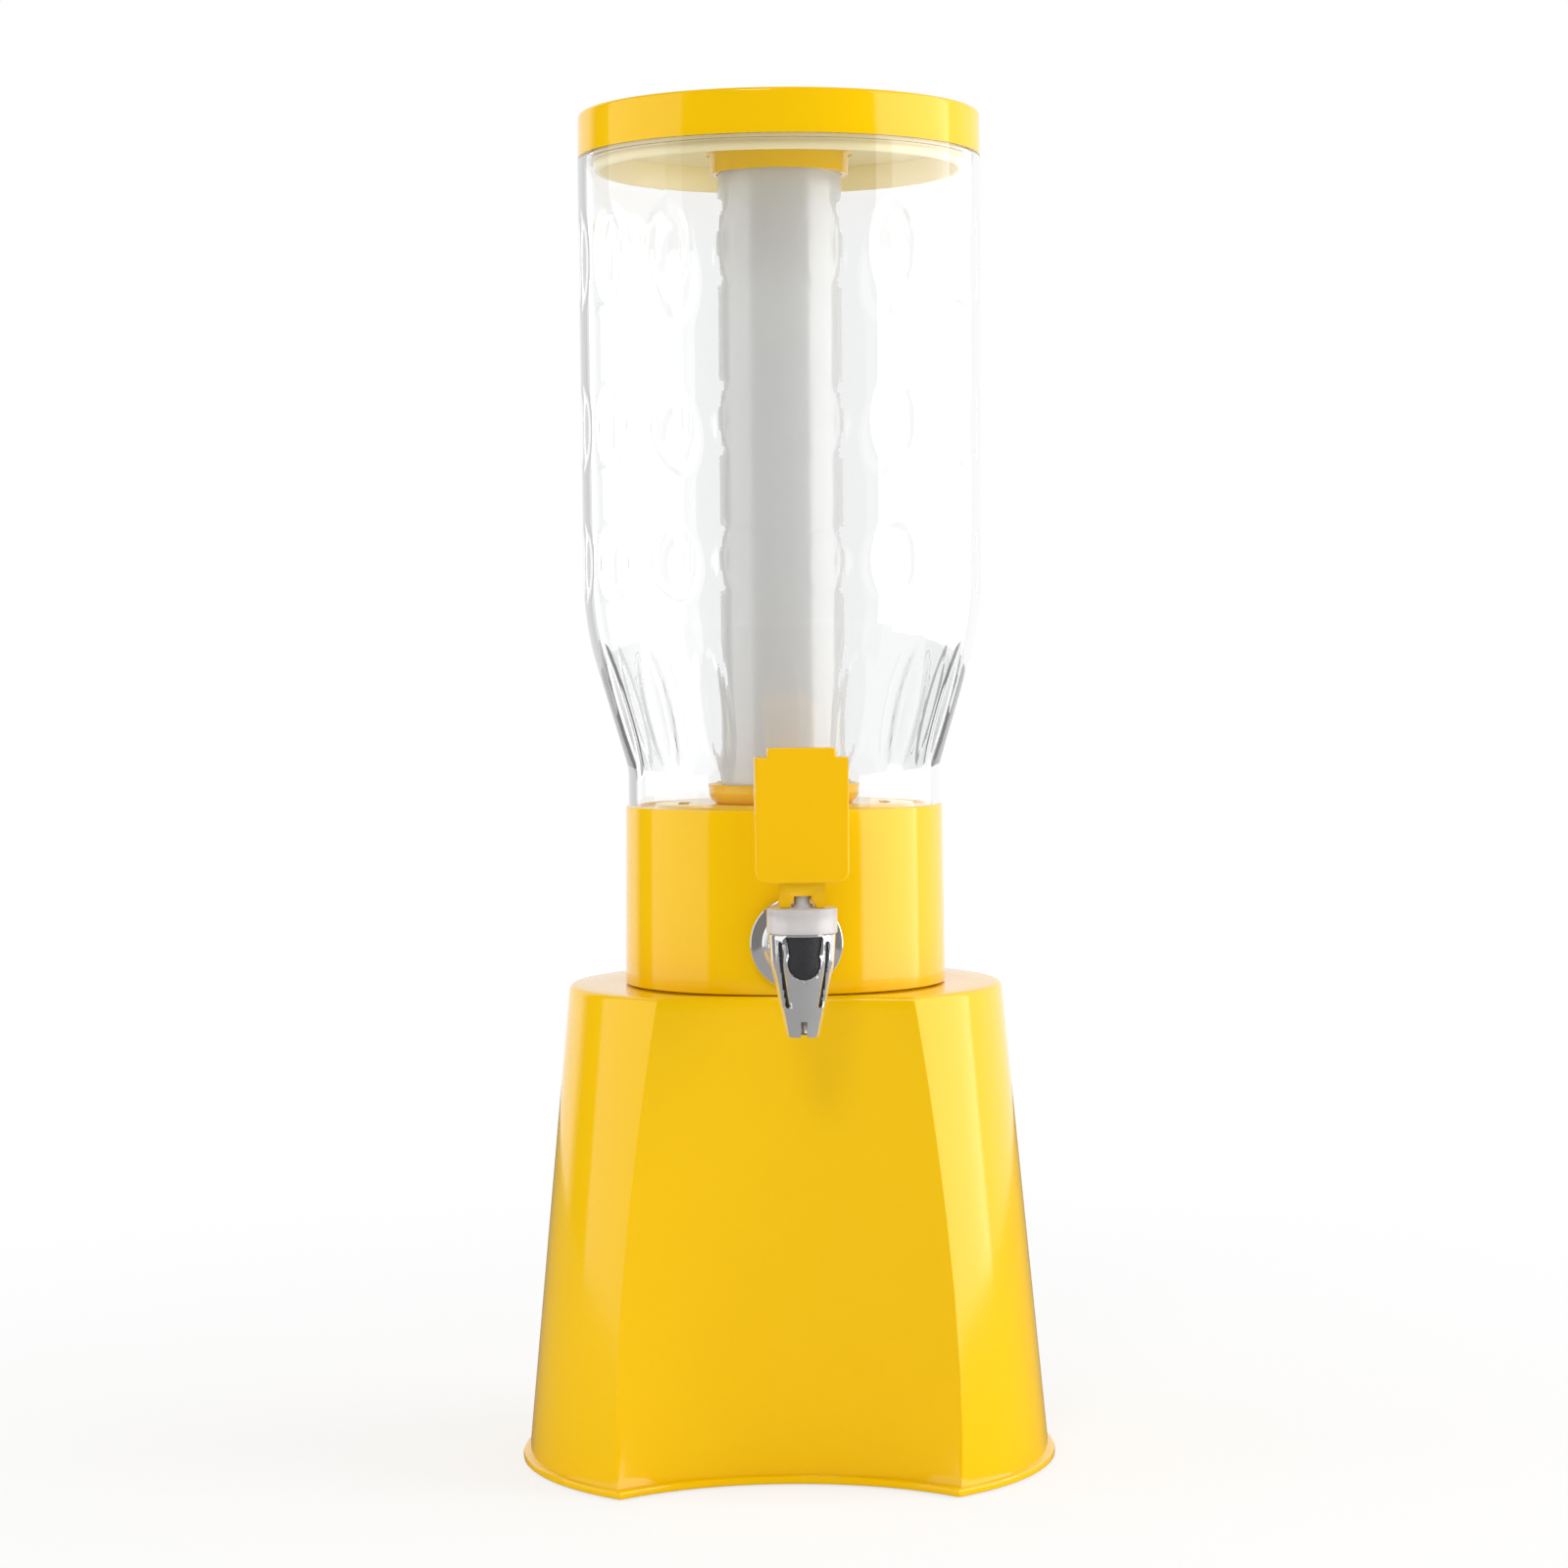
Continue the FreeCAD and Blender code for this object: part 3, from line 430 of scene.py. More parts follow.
def turned_steel(name, colour):
    """Steel with fine turning marks round its axis."""
    recipe = material_recipe(name)
    rings = recipe.node(
        "ShaderNodeTexWave",
        {"wave_type": "BANDS", "bands_direction": "Z"},
        {"Vector": recipe.place(), "Scale": 1800.0, "Distortion": 0.4},
    )
    haze = recipe.noise(200.0)
    shader = recipe.node(
        "ShaderNodeBsdfPrincipled",
        inputs={
            "Base Color": recipe.blend(haze, scaled(colour, 0.93), colour),
            "Metallic": 1.0,
            "Roughness": rings * 0.06 + haze * 0.05 + 0.18,
            "Normal": recipe.bump(rings, 0.1, 0.0001),
        },
    )
    return recipe.surface(shader)


FINISHES = {}


def finish(name):
    """One material for each of the record's slots, made when it is first asked for."""
    tint = colours()
    makers = {
        "yellow_shell": lambda: moulded_gloss("yellow_shell", tuple(tint.shell)),
        "yellow_inner": lambda: moulded_gloss("yellow_inner", tuple(tint.shell), 0.12),
        "yellow_handle": lambda: moulded_gloss("yellow_handle", tuple(tint.handle), 0.16, 0.03),
        "clear_tank": lambda: clear_plastic("clear_tank", tuple(tint.tank)),
        "clear_bonnet": lambda: milky_plastic("clear_bonnet", (0.93, 0.89, 0.88), 0.45, 0.15),
        "frosted_tube": lambda: milky_plastic("frosted_tube", tuple(tint.tube), 0.35, 0.2, 1.7, 1.0),
        "chrome_tap": lambda: chrome_plate("chrome_tap", tuple(tint.chrome)),
        "dark_insert": lambda: grained_plastic("dark_insert", (0.035, 0.035, 0.04), 0.4, 1900.0, 0.8),
        "steel_valve": lambda: turned_steel("steel_valve", (0.62, 0.62, 0.61)),
        "white_silicone": lambda: milky_plastic("white_silicone", (0.97, 0.93, 0.84), 0.2, 0.35),
        # Painted light: the plug and its seal are whitish, and this bright cream paints the yellow light
        # bounced from the lid onto them
        "bounce_painted_cream": lambda: milky_plastic("bounce_painted_cream", (1.0, 0.88, 0.5), 0.0, 0.3),
        "grey_silicone": lambda: grained_plastic("grey_silicone", (0.35, 0.35, 0.35), 0.45, 900.0, 0.05),
        "nut_plastic": lambda: grained_plastic("nut_plastic", (0.75, 0.75, 0.73), 0.4, 700.0, 0.1),
        "foot_rubber": lambda: grained_plastic("foot_rubber", (0.03, 0.03, 0.03), 0.7, 1200.0, 0.4),
    }
    if name not in FINISHES:
        FINISHES[name] = makers[name]()
    return FINISHES[name]


# Modelling


FINE_EDGE = math.radians(30)
HARD_EDGE = math.radians(35)


def deselect():
    if bpy.context.object and bpy.context.object.mode != "OBJECT":
        bpy.ops.object.mode_set(mode="OBJECT")
    bpy.ops.object.select_all(action="DESELECT")


def activate(piece):
    deselect()
    piece.select_set(True)
    bpy.context.view_layer.objects.active = piece


def start_profile(name, first):
    """A new object in edit mode that holds one selected vertex."""
    deselect()
    bpy.ops.mesh.primitive_plane_add(size=MM)
    piece = bpy.context.object
    piece.name = name
    piece.data.name = name
    bpy.ops.object.mode_set(mode="EDIT")
    bpy.ops.mesh.select_all(action="SELECT")
    bpy.ops.mesh.merge(type="CENTER")
    bpy.ops.transform.translate(value=first)
    return piece


def draw_profile(name, points):
    """Extrudes a vertex round the points, which are (across, height) in the XZ plane."""
    places = [Vector((across, 0, height)) for across, height in points]
    places.append(places[0])
    piece = start_profile(name, places[0])
    for here, there in zip(places, places[1:]):
        bpy.ops.mesh.extrude_vertices_move(TRANSFORM_OT_translate={"value": there - here})
    bpy.ops.mesh.select_all(action="SELECT")
    bpy.ops.mesh.remove_doubles(threshold=MM / 1000)
    return piece


def spin_profile(name, points, steps=96):
    """A turned piece from a section of (radius, height) points."""
    piece = draw_profile(name, points)
    bpy.ops.mesh.spin(steps=steps, angle=FULL_TURN, center=(0, 0, 0), axis=(0, 0, 1))
    bpy.ops.mesh.select_all(action="SELECT")
    bpy.ops.mesh.remove_doubles(threshold=MM / 1000)
    bpy.ops.mesh.normals_make_consistent(inside=False)
    bpy.ops.object.mode_set(mode="OBJECT")
    return piece


def soften(piece, width, segments=3, angle=HARD_EDGE):
    """Rounds the hard edges and smooths the rest."""
    activate(piece)
    bevel = piece.modifiers.new("rounding", "BEVEL")
    bevel.width = width
    bevel.segments = segments
    bevel.limit_method = "ANGLE"
    bevel.angle_limit = angle
    bevel.use_clamp_overlap = True
    bevel.harden_normals = False
    bpy.ops.object.modifier_apply(modifier=bevel.name)
    smooth(piece)


def smooth(piece, angle=math.radians(40)):
    activate(piece)
    bpy.ops.object.shade_smooth_by_angle(angle=angle, keep_sharp_edges=False)


def join(pieces):
    deselect()
    for piece in pieces:
        piece.select_set(True)
    bpy.context.view_layer.objects.active = pieces[0]
    bpy.ops.object.join()
    return pieces[0]


def merged_copy(name, node):
    """A copy of a CAD node's mesh with its triangles joined up."""
    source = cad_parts[node]
    piece = bpy.data.objects.new(name, source.data.copy())
    bpy.context.scene.collection.objects.link(piece)
    activate(piece)
    bpy.ops.object.mode_set(mode="EDIT")
    bpy.ops.mesh.select_all(action="SELECT")
    bpy.ops.mesh.remove_doubles(threshold=MM / 2000)
    bpy.ops.object.mode_set(mode="OBJECT")
    return piece


def settle(piece, body, slot, *nodes, look=None):
    """Gives a finished piece its material and its body, and hides the CAD nodes that it stands for."""
    piece.data.materials.clear()
    piece.data.materials.append(finish(look or slot))
    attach(piece, body)
    if nodes:
        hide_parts(*nodes)
    return piece


def dress(name, node, body, slot, angle=FINE_EDGE, look=None):
    """A piece that keeps the shape of its CAD node, with its round faces smoothed."""
    piece = merged_copy(name, node)
    smooth(piece, angle)
    return settle(piece, body, slot, node, look=look)


TAP_REACH = 86.0
SHANK_HEIGHT = 187.6


def tap_place(piece):
    """Moves a piece modelled on the nozzle's axis, facing -Y, to the tap."""
    turn = Matrix.Rotation(sizes().tap_turn, 4, "Z")
    piece.data.transform(turn @ Matrix.Translation((0, -TAP_REACH * MM, 0)))


def shank_place(piece):
    """Lays a piece turned about Z along the tap's shank, with its heights measured from the tower's axis."""
    turn = Matrix.Rotation(sizes().tap_turn, 4, "Z")
    lay = Matrix.Rotation(math.pi / 2, 4, "X")
    piece.data.transform(turn @ Matrix.Translation((0, 0, SHANK_HEIGHT * MM)) @ lay)


def in_mm(points):
    return [(across * MM, height * MM) for across, height in points]


def arc_points(centre, radius, start_deg, end_deg, count):
    """Points on an arc in a section, both ends included."""
    made = []
    for index in range(count + 1):
        angle = math.radians(start_deg + (end_deg - start_deg) * index / count)
        made.append((centre[0] + radius * math.cos(angle), centre[1] + radius * math.sin(angle)))
    return made


# Base


# Reach of the scoop's front, and radius of its arc
SCOOP_FOOT = (50.6 * MM, 88.2 * MM)
SCOOP_TOP = (59.4 * MM, 240.0 * MM)
ROUND_COUNT = 150
SCOOP_COUNT = 40


def scoop_at(height, inset):
    """The scoop's front point and arc radius at a height, for a wall moved inwards by inset."""
    share = height / sizes().base_height
    front = SCOOP_FOOT[0] + (SCOOP_TOP[0] - SCOOP_FOOT[0]) * share
    radius = SCOOP_FOOT[1] + (SCOOP_TOP[1] - SCOOP_FOOT[1]) * share
    return front - inset, radius + inset


def scooped_ring(outer, front, bow):
    """Points round a circle whose front is cut by an arc: first the circle, then the scoop."""
    centre = front + bow
    corner_y = (centre**2 + outer**2 - bow**2) / (2 * centre)
    half = math.acos(min(1.0, corner_y / outer))
    points = []
    for index in range(ROUND_COUNT):
        angle = -math.pi / 2 + half + (FULL_TURN - 2 * half) * index / ROUND_COUNT
        points.append((outer * math.cos(angle), outer * math.sin(angle)))
    corner_x = outer * math.sin(half)
    spread = math.asin(min(1.0, corner_x / bow))
    for index in range(SCOOP_COUNT):
        angle = -spread + 2 * spread * index / SCOOP_COUNT
        points.append((bow * math.sin(angle), -centre + bow * math.cos(angle)))
    return points


def base_ring(height, inset):
    share = height / sizes().base_height
    outer = sizes().base_foot_radius + (sizes().base_top_radius - sizes().base_foot_radius) * share
    front, bow = scoop_at(height, inset)
    return [(x, y, height) for x, y in scooped_ring(outer - inset, front, bow)]


def rim_ring(height, inset):
    out = sizes().rim_radius - sizes().base_foot_radius + MM
    front, bow = scoop_at(0, inset - out)
    return [(x, y, height) for x, y in scooped_ring(sizes().rim_radius - inset, front, bow)]


def round_ring(height, radius):
    """A full circle whose points stand at the angles of a scooped ring's points."""
    guide = base_ring(sizes().base_height, 0)
    points = []
    for x, y, _ in guide:
        length = math.hypot(x, y)
        points.append((radius * x / length, radius * y / length, height))
    return points


def loft_rings(name, rings):
    """A closed skin over rings that all have the same number of points."""
    deselect()
    count = len(rings[0])
    bpy.ops.mesh.primitive_circle_add(vertices=count, radius=sizes().base_foot_radius)
    piece = bpy.context.object
    piece.name = name
    piece.data.name = name
    bpy.ops.object.mode_set(mode="EDIT")
    for _ in rings[1:]:
        bpy.ops.mesh.extrude_edges_move(TRANSFORM_OT_translate={"value": (0, 0, MM)})
    bpy.ops.object.mode_set(mode="OBJECT")
    for index, ring in enumerate(rings):
        for offset, place in enumerate(ring):
            piece.data.vertices[index * count + offset].co = place
    bpy.ops.object.mode_set(mode="EDIT")
    bpy.ops.mesh.select_all(action="DESELECT")
    bpy.ops.mesh.select_non_manifold(extend=False, use_wire=True, use_boundary=True)
    bpy.ops.mesh.bridge_edge_loops()
    bpy.ops.mesh.select_all(action="SELECT")
    bpy.ops.mesh.normals_make_consistent(inside=False)
    bpy.ops.object.mode_set(mode="OBJECT")
    return piece


WALL_SHARES = (0.04, 0.12, 0.25, 0.4, 0.55, 0.7, 0.82, 0.92, 0.97)
INNER_SHARES = (0.6, 0.3)
SHOULDER_ROUNDING = 1.8 * MM
SHOULDER_STEPS = 6
SOCKET_RADIUS = 54.7
SOCKET_OUTSIDE = 57.1
SHELF_RADIUS = 45.4
SHELF_TOP = 150
SHELF_FOOT = 147
# Drop below the shoulder, and radius, where the shoulder turns down into the socket
SOCKET_MOUTH = ((0, 56.5), (0.2, 55.0), (0.8, SOCKET_RADIUS))
RIM_TOP = 3.2
RIM_FOOT = 0.6
RIM_WIDTH = 9.5
# Height and inset of the lip's section, from its inner foot to its top
RIM_SECTION = (
    (RIM_FOOT, RIM_WIDTH),
    (RIM_FOOT, 0.5),
    (0.9, 0.1),
    (1.5, 0),
    (2.4, 0),
    (2.95, 0.2),
    (RIM_TOP, 0.7),
)


def base_rings():
    """The shell's skin: up the outside, over the shoulder, down the socket and the inside, round the lip."""
    top, wall = sizes().base_height, sizes().base_wall
    soft = SHOULDER_ROUNDING
    rings = [base_ring(RIM_TOP * MM, 0)]
    rings += [base_ring(top * share, 0) for share in WALL_SHARES]
    for step in range(SHOULDER_STEPS + 1):
        angle = math.pi / 2 * step / SHOULDER_STEPS
        inset = soft * (1 - math.cos(angle))
        rings.append(base_ring(top - soft + soft * math.sin(angle), inset))
    rings += [round_ring(top - drop * MM, radius * MM) for drop, radius in SOCKET_MOUTH]
    socket = ((SOCKET_RADIUS, SHELF_TOP), (SHELF_RADIUS, SHELF_TOP), (SHELF_RADIUS, SHELF_FOOT))
    rings += [round_ring(height * MM, radius * MM) for radius, height in socket]
    rings += [round_ring(SHELF_FOOT * MM, SOCKET_OUTSIDE * MM), round_ring(top - wall, SOCKET_OUTSIDE * MM)]
    rings.append(base_ring(top - wall, wall))
    rings += [base_ring(top * share, wall) for share in INNER_SHARES]
    rings += [base_ring(RIM_TOP * MM, wall), rim_ring(RIM_TOP * MM, RIM_WIDTH * MM)]
    rings += [rim_ring(height * MM, inset * MM) for height, inset in RIM_SECTION]
    return rings


WEB_COUNT = 6
WEB_FIRST_DEG = -38
WEB_PITCH_DEG = 51.2
WEB_SIZE = (14.5 * MM, 2.2 * MM, 15.6 * MM)
WEB_RADIUS = 64.0 * MM
WEB_DROP = 10.0 * MM


def socket_web(index):
    """One of the webs that stiffen the socket under the shoulder."""
    bpy.ops.mesh.primitive_cube_add(size=1)
    web = bpy.context.object
    place = Matrix.Translation((WEB_RADIUS, 0, sizes().base_height - WEB_DROP))
    web.data.transform(place @ Matrix.Diagonal((*WEB_SIZE, 1)))
    web.data.transform(Matrix.Rotation(math.radians(WEB_FIRST_DEG + WEB_PITCH_DEG * index), 4, "Z"))
    return web


class TOWER_OT_base(bpy.types.Operator):
    """Make the tapered base with its scoop, rim, socket and webs"""

    bl_idname = "tower.base"
    bl_label = "Base"

    def execute(self, context):
        shell = loft_rings("base", base_rings())
        soften(shell, 0.5 * MM, 3, math.radians(28))
        piece = join([shell] + [socket_web(index) for index in range(WEB_COUNT)])
        settle(piece, "base", "yellow_shell", "base_shell")
        return {"FINISHED"}


class TOWER_OT_feet(bpy.types.Operator):
    """Dress the rubber feet under the rim"""

    bl_idname = "tower.feet"
    bl_label = "Feet"

    def execute(self, context):
        dress("feet", "foot_pads", "base", "foot_rubber")
        return {"FINISHED"}


# Vessel


COLLAR_CLEARANCE = 0.3 * MM
COLLAR_BORE = 53.5
COLLAR_LEDGE = 172.6
SPIGOT_RADIUS = 54.4
SPIGOT_BORE = 51.5
FLOOR_TOP = 153
LOCK_RING_BORE = 42
LOCK_RING_RADIUS = 45
LOCK_RING_FOOT = 143.8
BOSS_BORE = 8.2
BOSS_RADIUS = 16
BOSS_BACK = 50.5
BOSS_FRONT = 54.5


class TOWER_OT_collar(bpy.types.Operator):
    """Make the collar cup that the tank stands in, with the tap's boss inside it"""

    bl_idname = "tower.collar"
    bl_label = "Collar"

    def execute(self, context):
        size = sizes()
        low, top = size.base_height + COLLAR_CLEARANCE, size.collar_top
        points = in_mm([(0, SHELF_TOP), (LOCK_RING_BORE, SHELF_TOP), (LOCK_RING_BORE, LOCK_RING_FOOT)])
        points += in_mm([(LOCK_RING_RADIUS, LOCK_RING_FOOT), (LOCK_RING_RADIUS, SHELF_TOP)])
        points += [(SPIGOT_RADIUS * MM, SHELF_TOP * MM), (SPIGOT_RADIUS * MM, low)]
        points.append((size.collar_foot_radius, low))
        for share in (0.1, 0.5, 0.9):
            radius = size.collar_foot_radius + (size.collar_top_radius - size.collar_foot_radius) * share
            points.append((radius, low + (top - low) * share))
        points += [(size.collar_top_radius, top), (COLLAR_BORE * MM, top)]
        points += in_mm([(COLLAR_BORE, COLLAR_LEDGE), (SPIGOT_BORE, COLLAR_LEDGE)])
        points += in_mm([(SPIGOT_BORE, FLOOR_TOP), (0, FLOOR_TOP)])
        cup = spin_profile("collar", points, 160)
        soften(cup, 0.45 * MM, 3)
        section = [(BOSS_BORE, BOSS_BACK), (BOSS_RADIUS, BOSS_BACK)]
        section += [(BOSS_RADIUS, BOSS_FRONT), (BOSS_BORE, BOSS_FRONT)]
        boss = spin_profile("boss", in_mm(section), 48)
        shank_place(boss)
        smooth(boss)
        settle(join([cup, boss]), "vessel", "yellow_shell", "collar_cup")
        return {"FINISHED"}


class TOWER_OT_drain_plate(bpy.types.Operator):
    """Dress the drain plate with the tube's seat, and the gasket round the tank's foot"""

    bl_idname = "tower.drain_plate"
    bl_label = "Drain plate"

    def execute(self, context):
        dress("drain_plate", "tube_seat", "vessel", "yellow_inner")
        gasket = merged_copy("foot_gasket", "tank_gasket")
        soften(gasket, 0.3 * MM, 2)
        settle(gasket, "vessel", "white_silicone", "tank_gasket")
        return {"FINISHED"}


TANK_STEPS = 320
BODY_ROWS = 88
BEND_ROWS = 20
NECK_ROWS = 8
NECK_RADIUS = 55.4 * MM
NECK_STRAIGHT_TOP = 236.0 * MM
NECK_TOP = 242.0 * MM
NECK_BOW = 25.0 * MM
BELLY_RADIUS = 70.8 * MM
BELLY_BOW = 113.0 * MM
TANK_TAPER = math.radians(16.7)
TANK_STEP = 462.4
TANK_TOP = 474.7
TANK_MOUTH = 66.4
MOUTH_RING_RADIUS = 68.7
INNER_LEDGE = (69.1, 461.2)
INNER_FOOT = 236.5 * MM
INNER_TOP = 461 * MM
FOOT_CLEARANCE = 0.1 * MM


def tank_profile():
    """Outer points of the tank from the collar to the lid: neck, taper, belly, body."""
    size = sizes()
    bend = 1 - math.cos(TANK_TAPER)
    points = [(NECK_RADIUS, size.collar_top), (NECK_RADIUS, NECK_STRAIGHT_TOP)]
    for step in range(NECK_ROWS + 1):
        angle = TANK_TAPER * step / NECK_ROWS
        points.append((NECK_RADIUS + NECK_BOW * (1 - math.cos(angle)), NECK_TOP + NECK_BOW * math.sin(angle)))
    low = points[-1]
    run = BELLY_RADIUS - BELLY_BOW * bend - low[0]
    high = (low[0] + run, low[1] + run / math.tan(TANK_TAPER))
    for step in range(1, BEND_ROWS + 1):
        share = step / BEND_ROWS
        points.append((low[0] + run * share, low[1] + (high[1] - low[1]) * share))
    belly_z = high[1] + BELLY_BOW * math.sin(TANK_TAPER)
    for step in range(1, BEND_ROWS + 1):
        angle = TANK_TAPER * (1 - step / BEND_ROWS)
        radius = BELLY_RADIUS - BELLY_BOW * (1 - math.cos(angle))
        points.append((radius, belly_z - BELLY_BOW * math.sin(angle)))
    for step in range(1, BODY_ROWS + 1):
        share = step / BODY_ROWS
        radius = BELLY_RADIUS + (size.tank_radius - BELLY_RADIUS) * share
        points.append((radius, belly_z + (TANK_STEP * MM - belly_z) * share))
    return points


# Middle height and length of each row of dimples
DIMPLE_ROWS = ((425.0 * MM, 35.7 * MM), (366.0 * MM, 30.8 * MM), (318.5 * MM, 28.4 * MM))
# Middle height, length and width of the flutes
FLUTE = (267.0 * MM, 50.0 * MM, 12.6 * MM)
DIMPLE_COUNT = 16
HOLLOW_EDGE = 0.6


def eased(share):
    """Goes from 0 to 1 with a level start and end."""
    share = min(1.0, share)
    return share * share * (3 - 2 * share)


def hollow_at(angle, radius, height):
    """How deep the dimples and flutes are at a place on the tank's side."""
    size = sizes()
    pitch = FULL_TURN / DIMPLE_COUNT
    depth = 0.0
    between = ((angle / pitch) % 1.0 - 0.5) * pitch * radius
    for middle, tall in DIMPLE_ROWS:
        far = (between / (size.dimple_width / 2)) ** 2 + ((height - middle) / (tall / 2)) ** 2
        if far < 1:
            depth = max(depth, size.dimple_depth * eased((1 - far) / HOLLOW_EDGE))
    on = ((angle / pitch + 0.5) % 1.0 - 0.5) * pitch * radius
    middle, tall, wide = FLUTE
    far = (on / (wide / 2)) ** 2 + ((height - middle) / (tall / 2)) ** 2
    if far < 1:
        depth = max(depth, size.flute_depth * eased((1 - far) / HOLLOW_EDGE))
    return depth


def radius_at(points, height):
    """Radius of a profile at a height."""
    for (low_radius, low), (high_radius, high) in zip(points, points[1:]):
        if low <= height <= high and high > low:
            return low_radius + (high_radius - low_radius) * (height - low) / (high - low)
    return points[-1][0]


class TOWER_OT_tank(bpy.types.Operator):
    """Make the clear tank, whose wall keeps its thickness over the dimples and flutes"""

    bl_idname = "tower.tank"
    bl_label = "Tank"

    def execute(self, context):
        wall = sizes().tank_wall
        outer = tank_profile()
        facing = [point for point in reversed(outer) if INNER_FOOT < point[1] < INNER_TOP]
        inner = [(radius - wall, height) for radius, height in facing]
        foot = sizes().collar_top + FOOT_CLEARANCE
        points = [(outer[0][0] - wall, foot), (outer[0][0], foot)] + outer[1:]
        mouth = [(MOUTH_RING_RADIUS, TANK_STEP), (MOUTH_RING_RADIUS, TANK_TOP), (TANK_MOUTH, TANK_TOP)]
        points += in_mm(mouth + [(TANK_MOUTH, INNER_LEDGE[1]), INNER_LEDGE])
        points += inner
        tank = spin_profile("tank", points, TANK_STEPS)
        for vertex in tank.data.vertices:
            x, y, z = vertex.co
            radius = math.hypot(x, y)
            deep = hollow_at(math.atan2(y, x), radius_at(outer, z), z)
            vertex.co = Vector((x * (1 - deep / radius), y * (1 - deep / radius), z))
        smooth(tank, math.radians(32))
        settle(tank, "vessel", "clear_tank", "tank")
        return {"FINISHED"}


# Lid and ice tube


LID_WALL = 2.4
LID_CEILING = 2.6
LID_ROUNDING = 1.4
PLUG_RADIUS = 63.6
PLUG_BORE = 61.4
PLUG_FOOT = 466.5
PLUG_FLOOR = 468.7
PLUG_TOP = 475.2
# Radius and height of the seal's section, with a bead at its foot and another halfway up
SEAL_FOOT = 457.5
SEAL_TOP = 472.0
SEAL_BEADS = (
    (65.6, SEAL_FOOT),
    (66.1, 458.6),
    (66.1, 460.2),
    (65.7, 461.0),
    (66.1, 461.8),
    (66.1, 471.6),
    (65.7, SEAL_TOP),
)


def lid_cover():
    """The cover's skirt and ceiling, with a rounded upper edge."""
    low, top = low_of("lid_cover").z / MM, high_of("lid_cover").z / MM
    radius = sizes().lid_radius / MM
    ceiling, bore = top - LID_CEILING, radius - LID_WALL
    points = [(0, ceiling), (bore, ceiling), (bore, low), (radius, low), (radius, low + 5), (radius, top - 5)]
    points += arc_points((radius - LID_ROUNDING, top - LID_ROUNDING), LID_ROUNDING, 0, 90, 6)
    points += [(radius - 6, top), (radius * 0.5, top), (0, top)]
    cover = spin_profile("lid", in_mm(points), 192)
    soften(cover, 0.3 * MM, 2, math.radians(50))
    settle(cover, "lid", "yellow_shell", "lid_cover")


def lid_plug():
    """The shallow cup under the cover."""
    points = [(0, PLUG_FOOT), (PLUG_RADIUS, PLUG_FOOT), (PLUG_RADIUS, PLUG_TOP)]
    points += [(PLUG_BORE, PLUG_TOP), (PLUG_BORE, PLUG_FLOOR), (0, PLUG_FLOOR)]
    plug = spin_profile("lid_plug", in_mm(points), 128)
    soften(plug, 0.3 * MM, 2)
    # The plug's cream colour is painted light bounced from the yellow lid
    settle(plug, "lid", "yellow_inner", "lid_plug", look="bounce_painted_cream")


def lid_seal():
    """The beaded ring that the plug carries into the tank's mouth."""
    points = [(PLUG_RADIUS, SEAL_FOOT), *SEAL_BEADS, (PLUG_RADIUS, SEAL_TOP)]
    seal = spin_profile("lid_seal", in_mm(points), 128)
    soften(seal, 0.2 * MM, 2)
    # The white silicone seal takes the same cream, painted light bounced from the yellow lid
    settle(seal, "lid", "white_silicone", "lid_seal", look="bounce_painted_cream")


class TOWER_OT_lid(bpy.types.Operator):
    """Make the lid, its plug, its seal and the ring that holds the ice tube"""

    bl_idname = "tower.lid"
    bl_label = "Lid"

    def execute(self, context):
        lid_cover()
        lid_plug()
        lid_seal()
        dress("tube_ring", "tube_holder", "lid", "yellow_inner")
        dress("tube_washer", "tube_seal", "lid", "white_silicone")
        return {"FINISHED"}


TUBE_RADIUS = 22.0
TUBE_BORE = 20.0
TUBE_FLOOR = 2.5
FOOT_ROUNDING = 2.0
LUG_RADIUS = 23.3
LUG_FOOT = 462.3
LUG_TOP = 465.0
LUG_HALF_DEG = 10


def locking_lug(side):
    """A short stretch of ring that locks the tube into its holder, at an angle round the tube."""
    bite = TUBE_RADIUS - 0.5
    section = [(bite, LUG_FOOT), (LUG_RADIUS, LUG_FOOT), (LUG_RADIUS, LUG_TOP), (bite, LUG_TOP)]
    lug = spin_profile("lug", in_mm(section), 96)
    activate(lug)
    keep = math.cos(math.radians(LUG_HALF_DEG))
    bpy.ops.object.mode_set(mode="EDIT")
    bpy.ops.mesh.select_all(action="DESELECT")
    bpy.ops.object.mode_set(mode="OBJECT")
    for vertex in lug.data.vertices:
        turned = Matrix.Rotation(-side, 3, "Z") @ vertex.co
        vertex.select = turned.x < keep * math.hypot(turned.x, turned.y)
    bpy.ops.object.mode_set(mode="EDIT")
    bpy.ops.mesh.delete(type="VERT")
    bpy.ops.mesh.select_all(action="SELECT")
    bpy.ops.mesh.fill_holes(sides=4)
    bpy.ops.mesh.select_all(action="SELECT")
    bpy.ops.mesh.normals_make_consistent(inside=False)
    bpy.ops.object.mode_set(mode="OBJECT")
    smooth(lug, HARD_EDGE)
    return lug


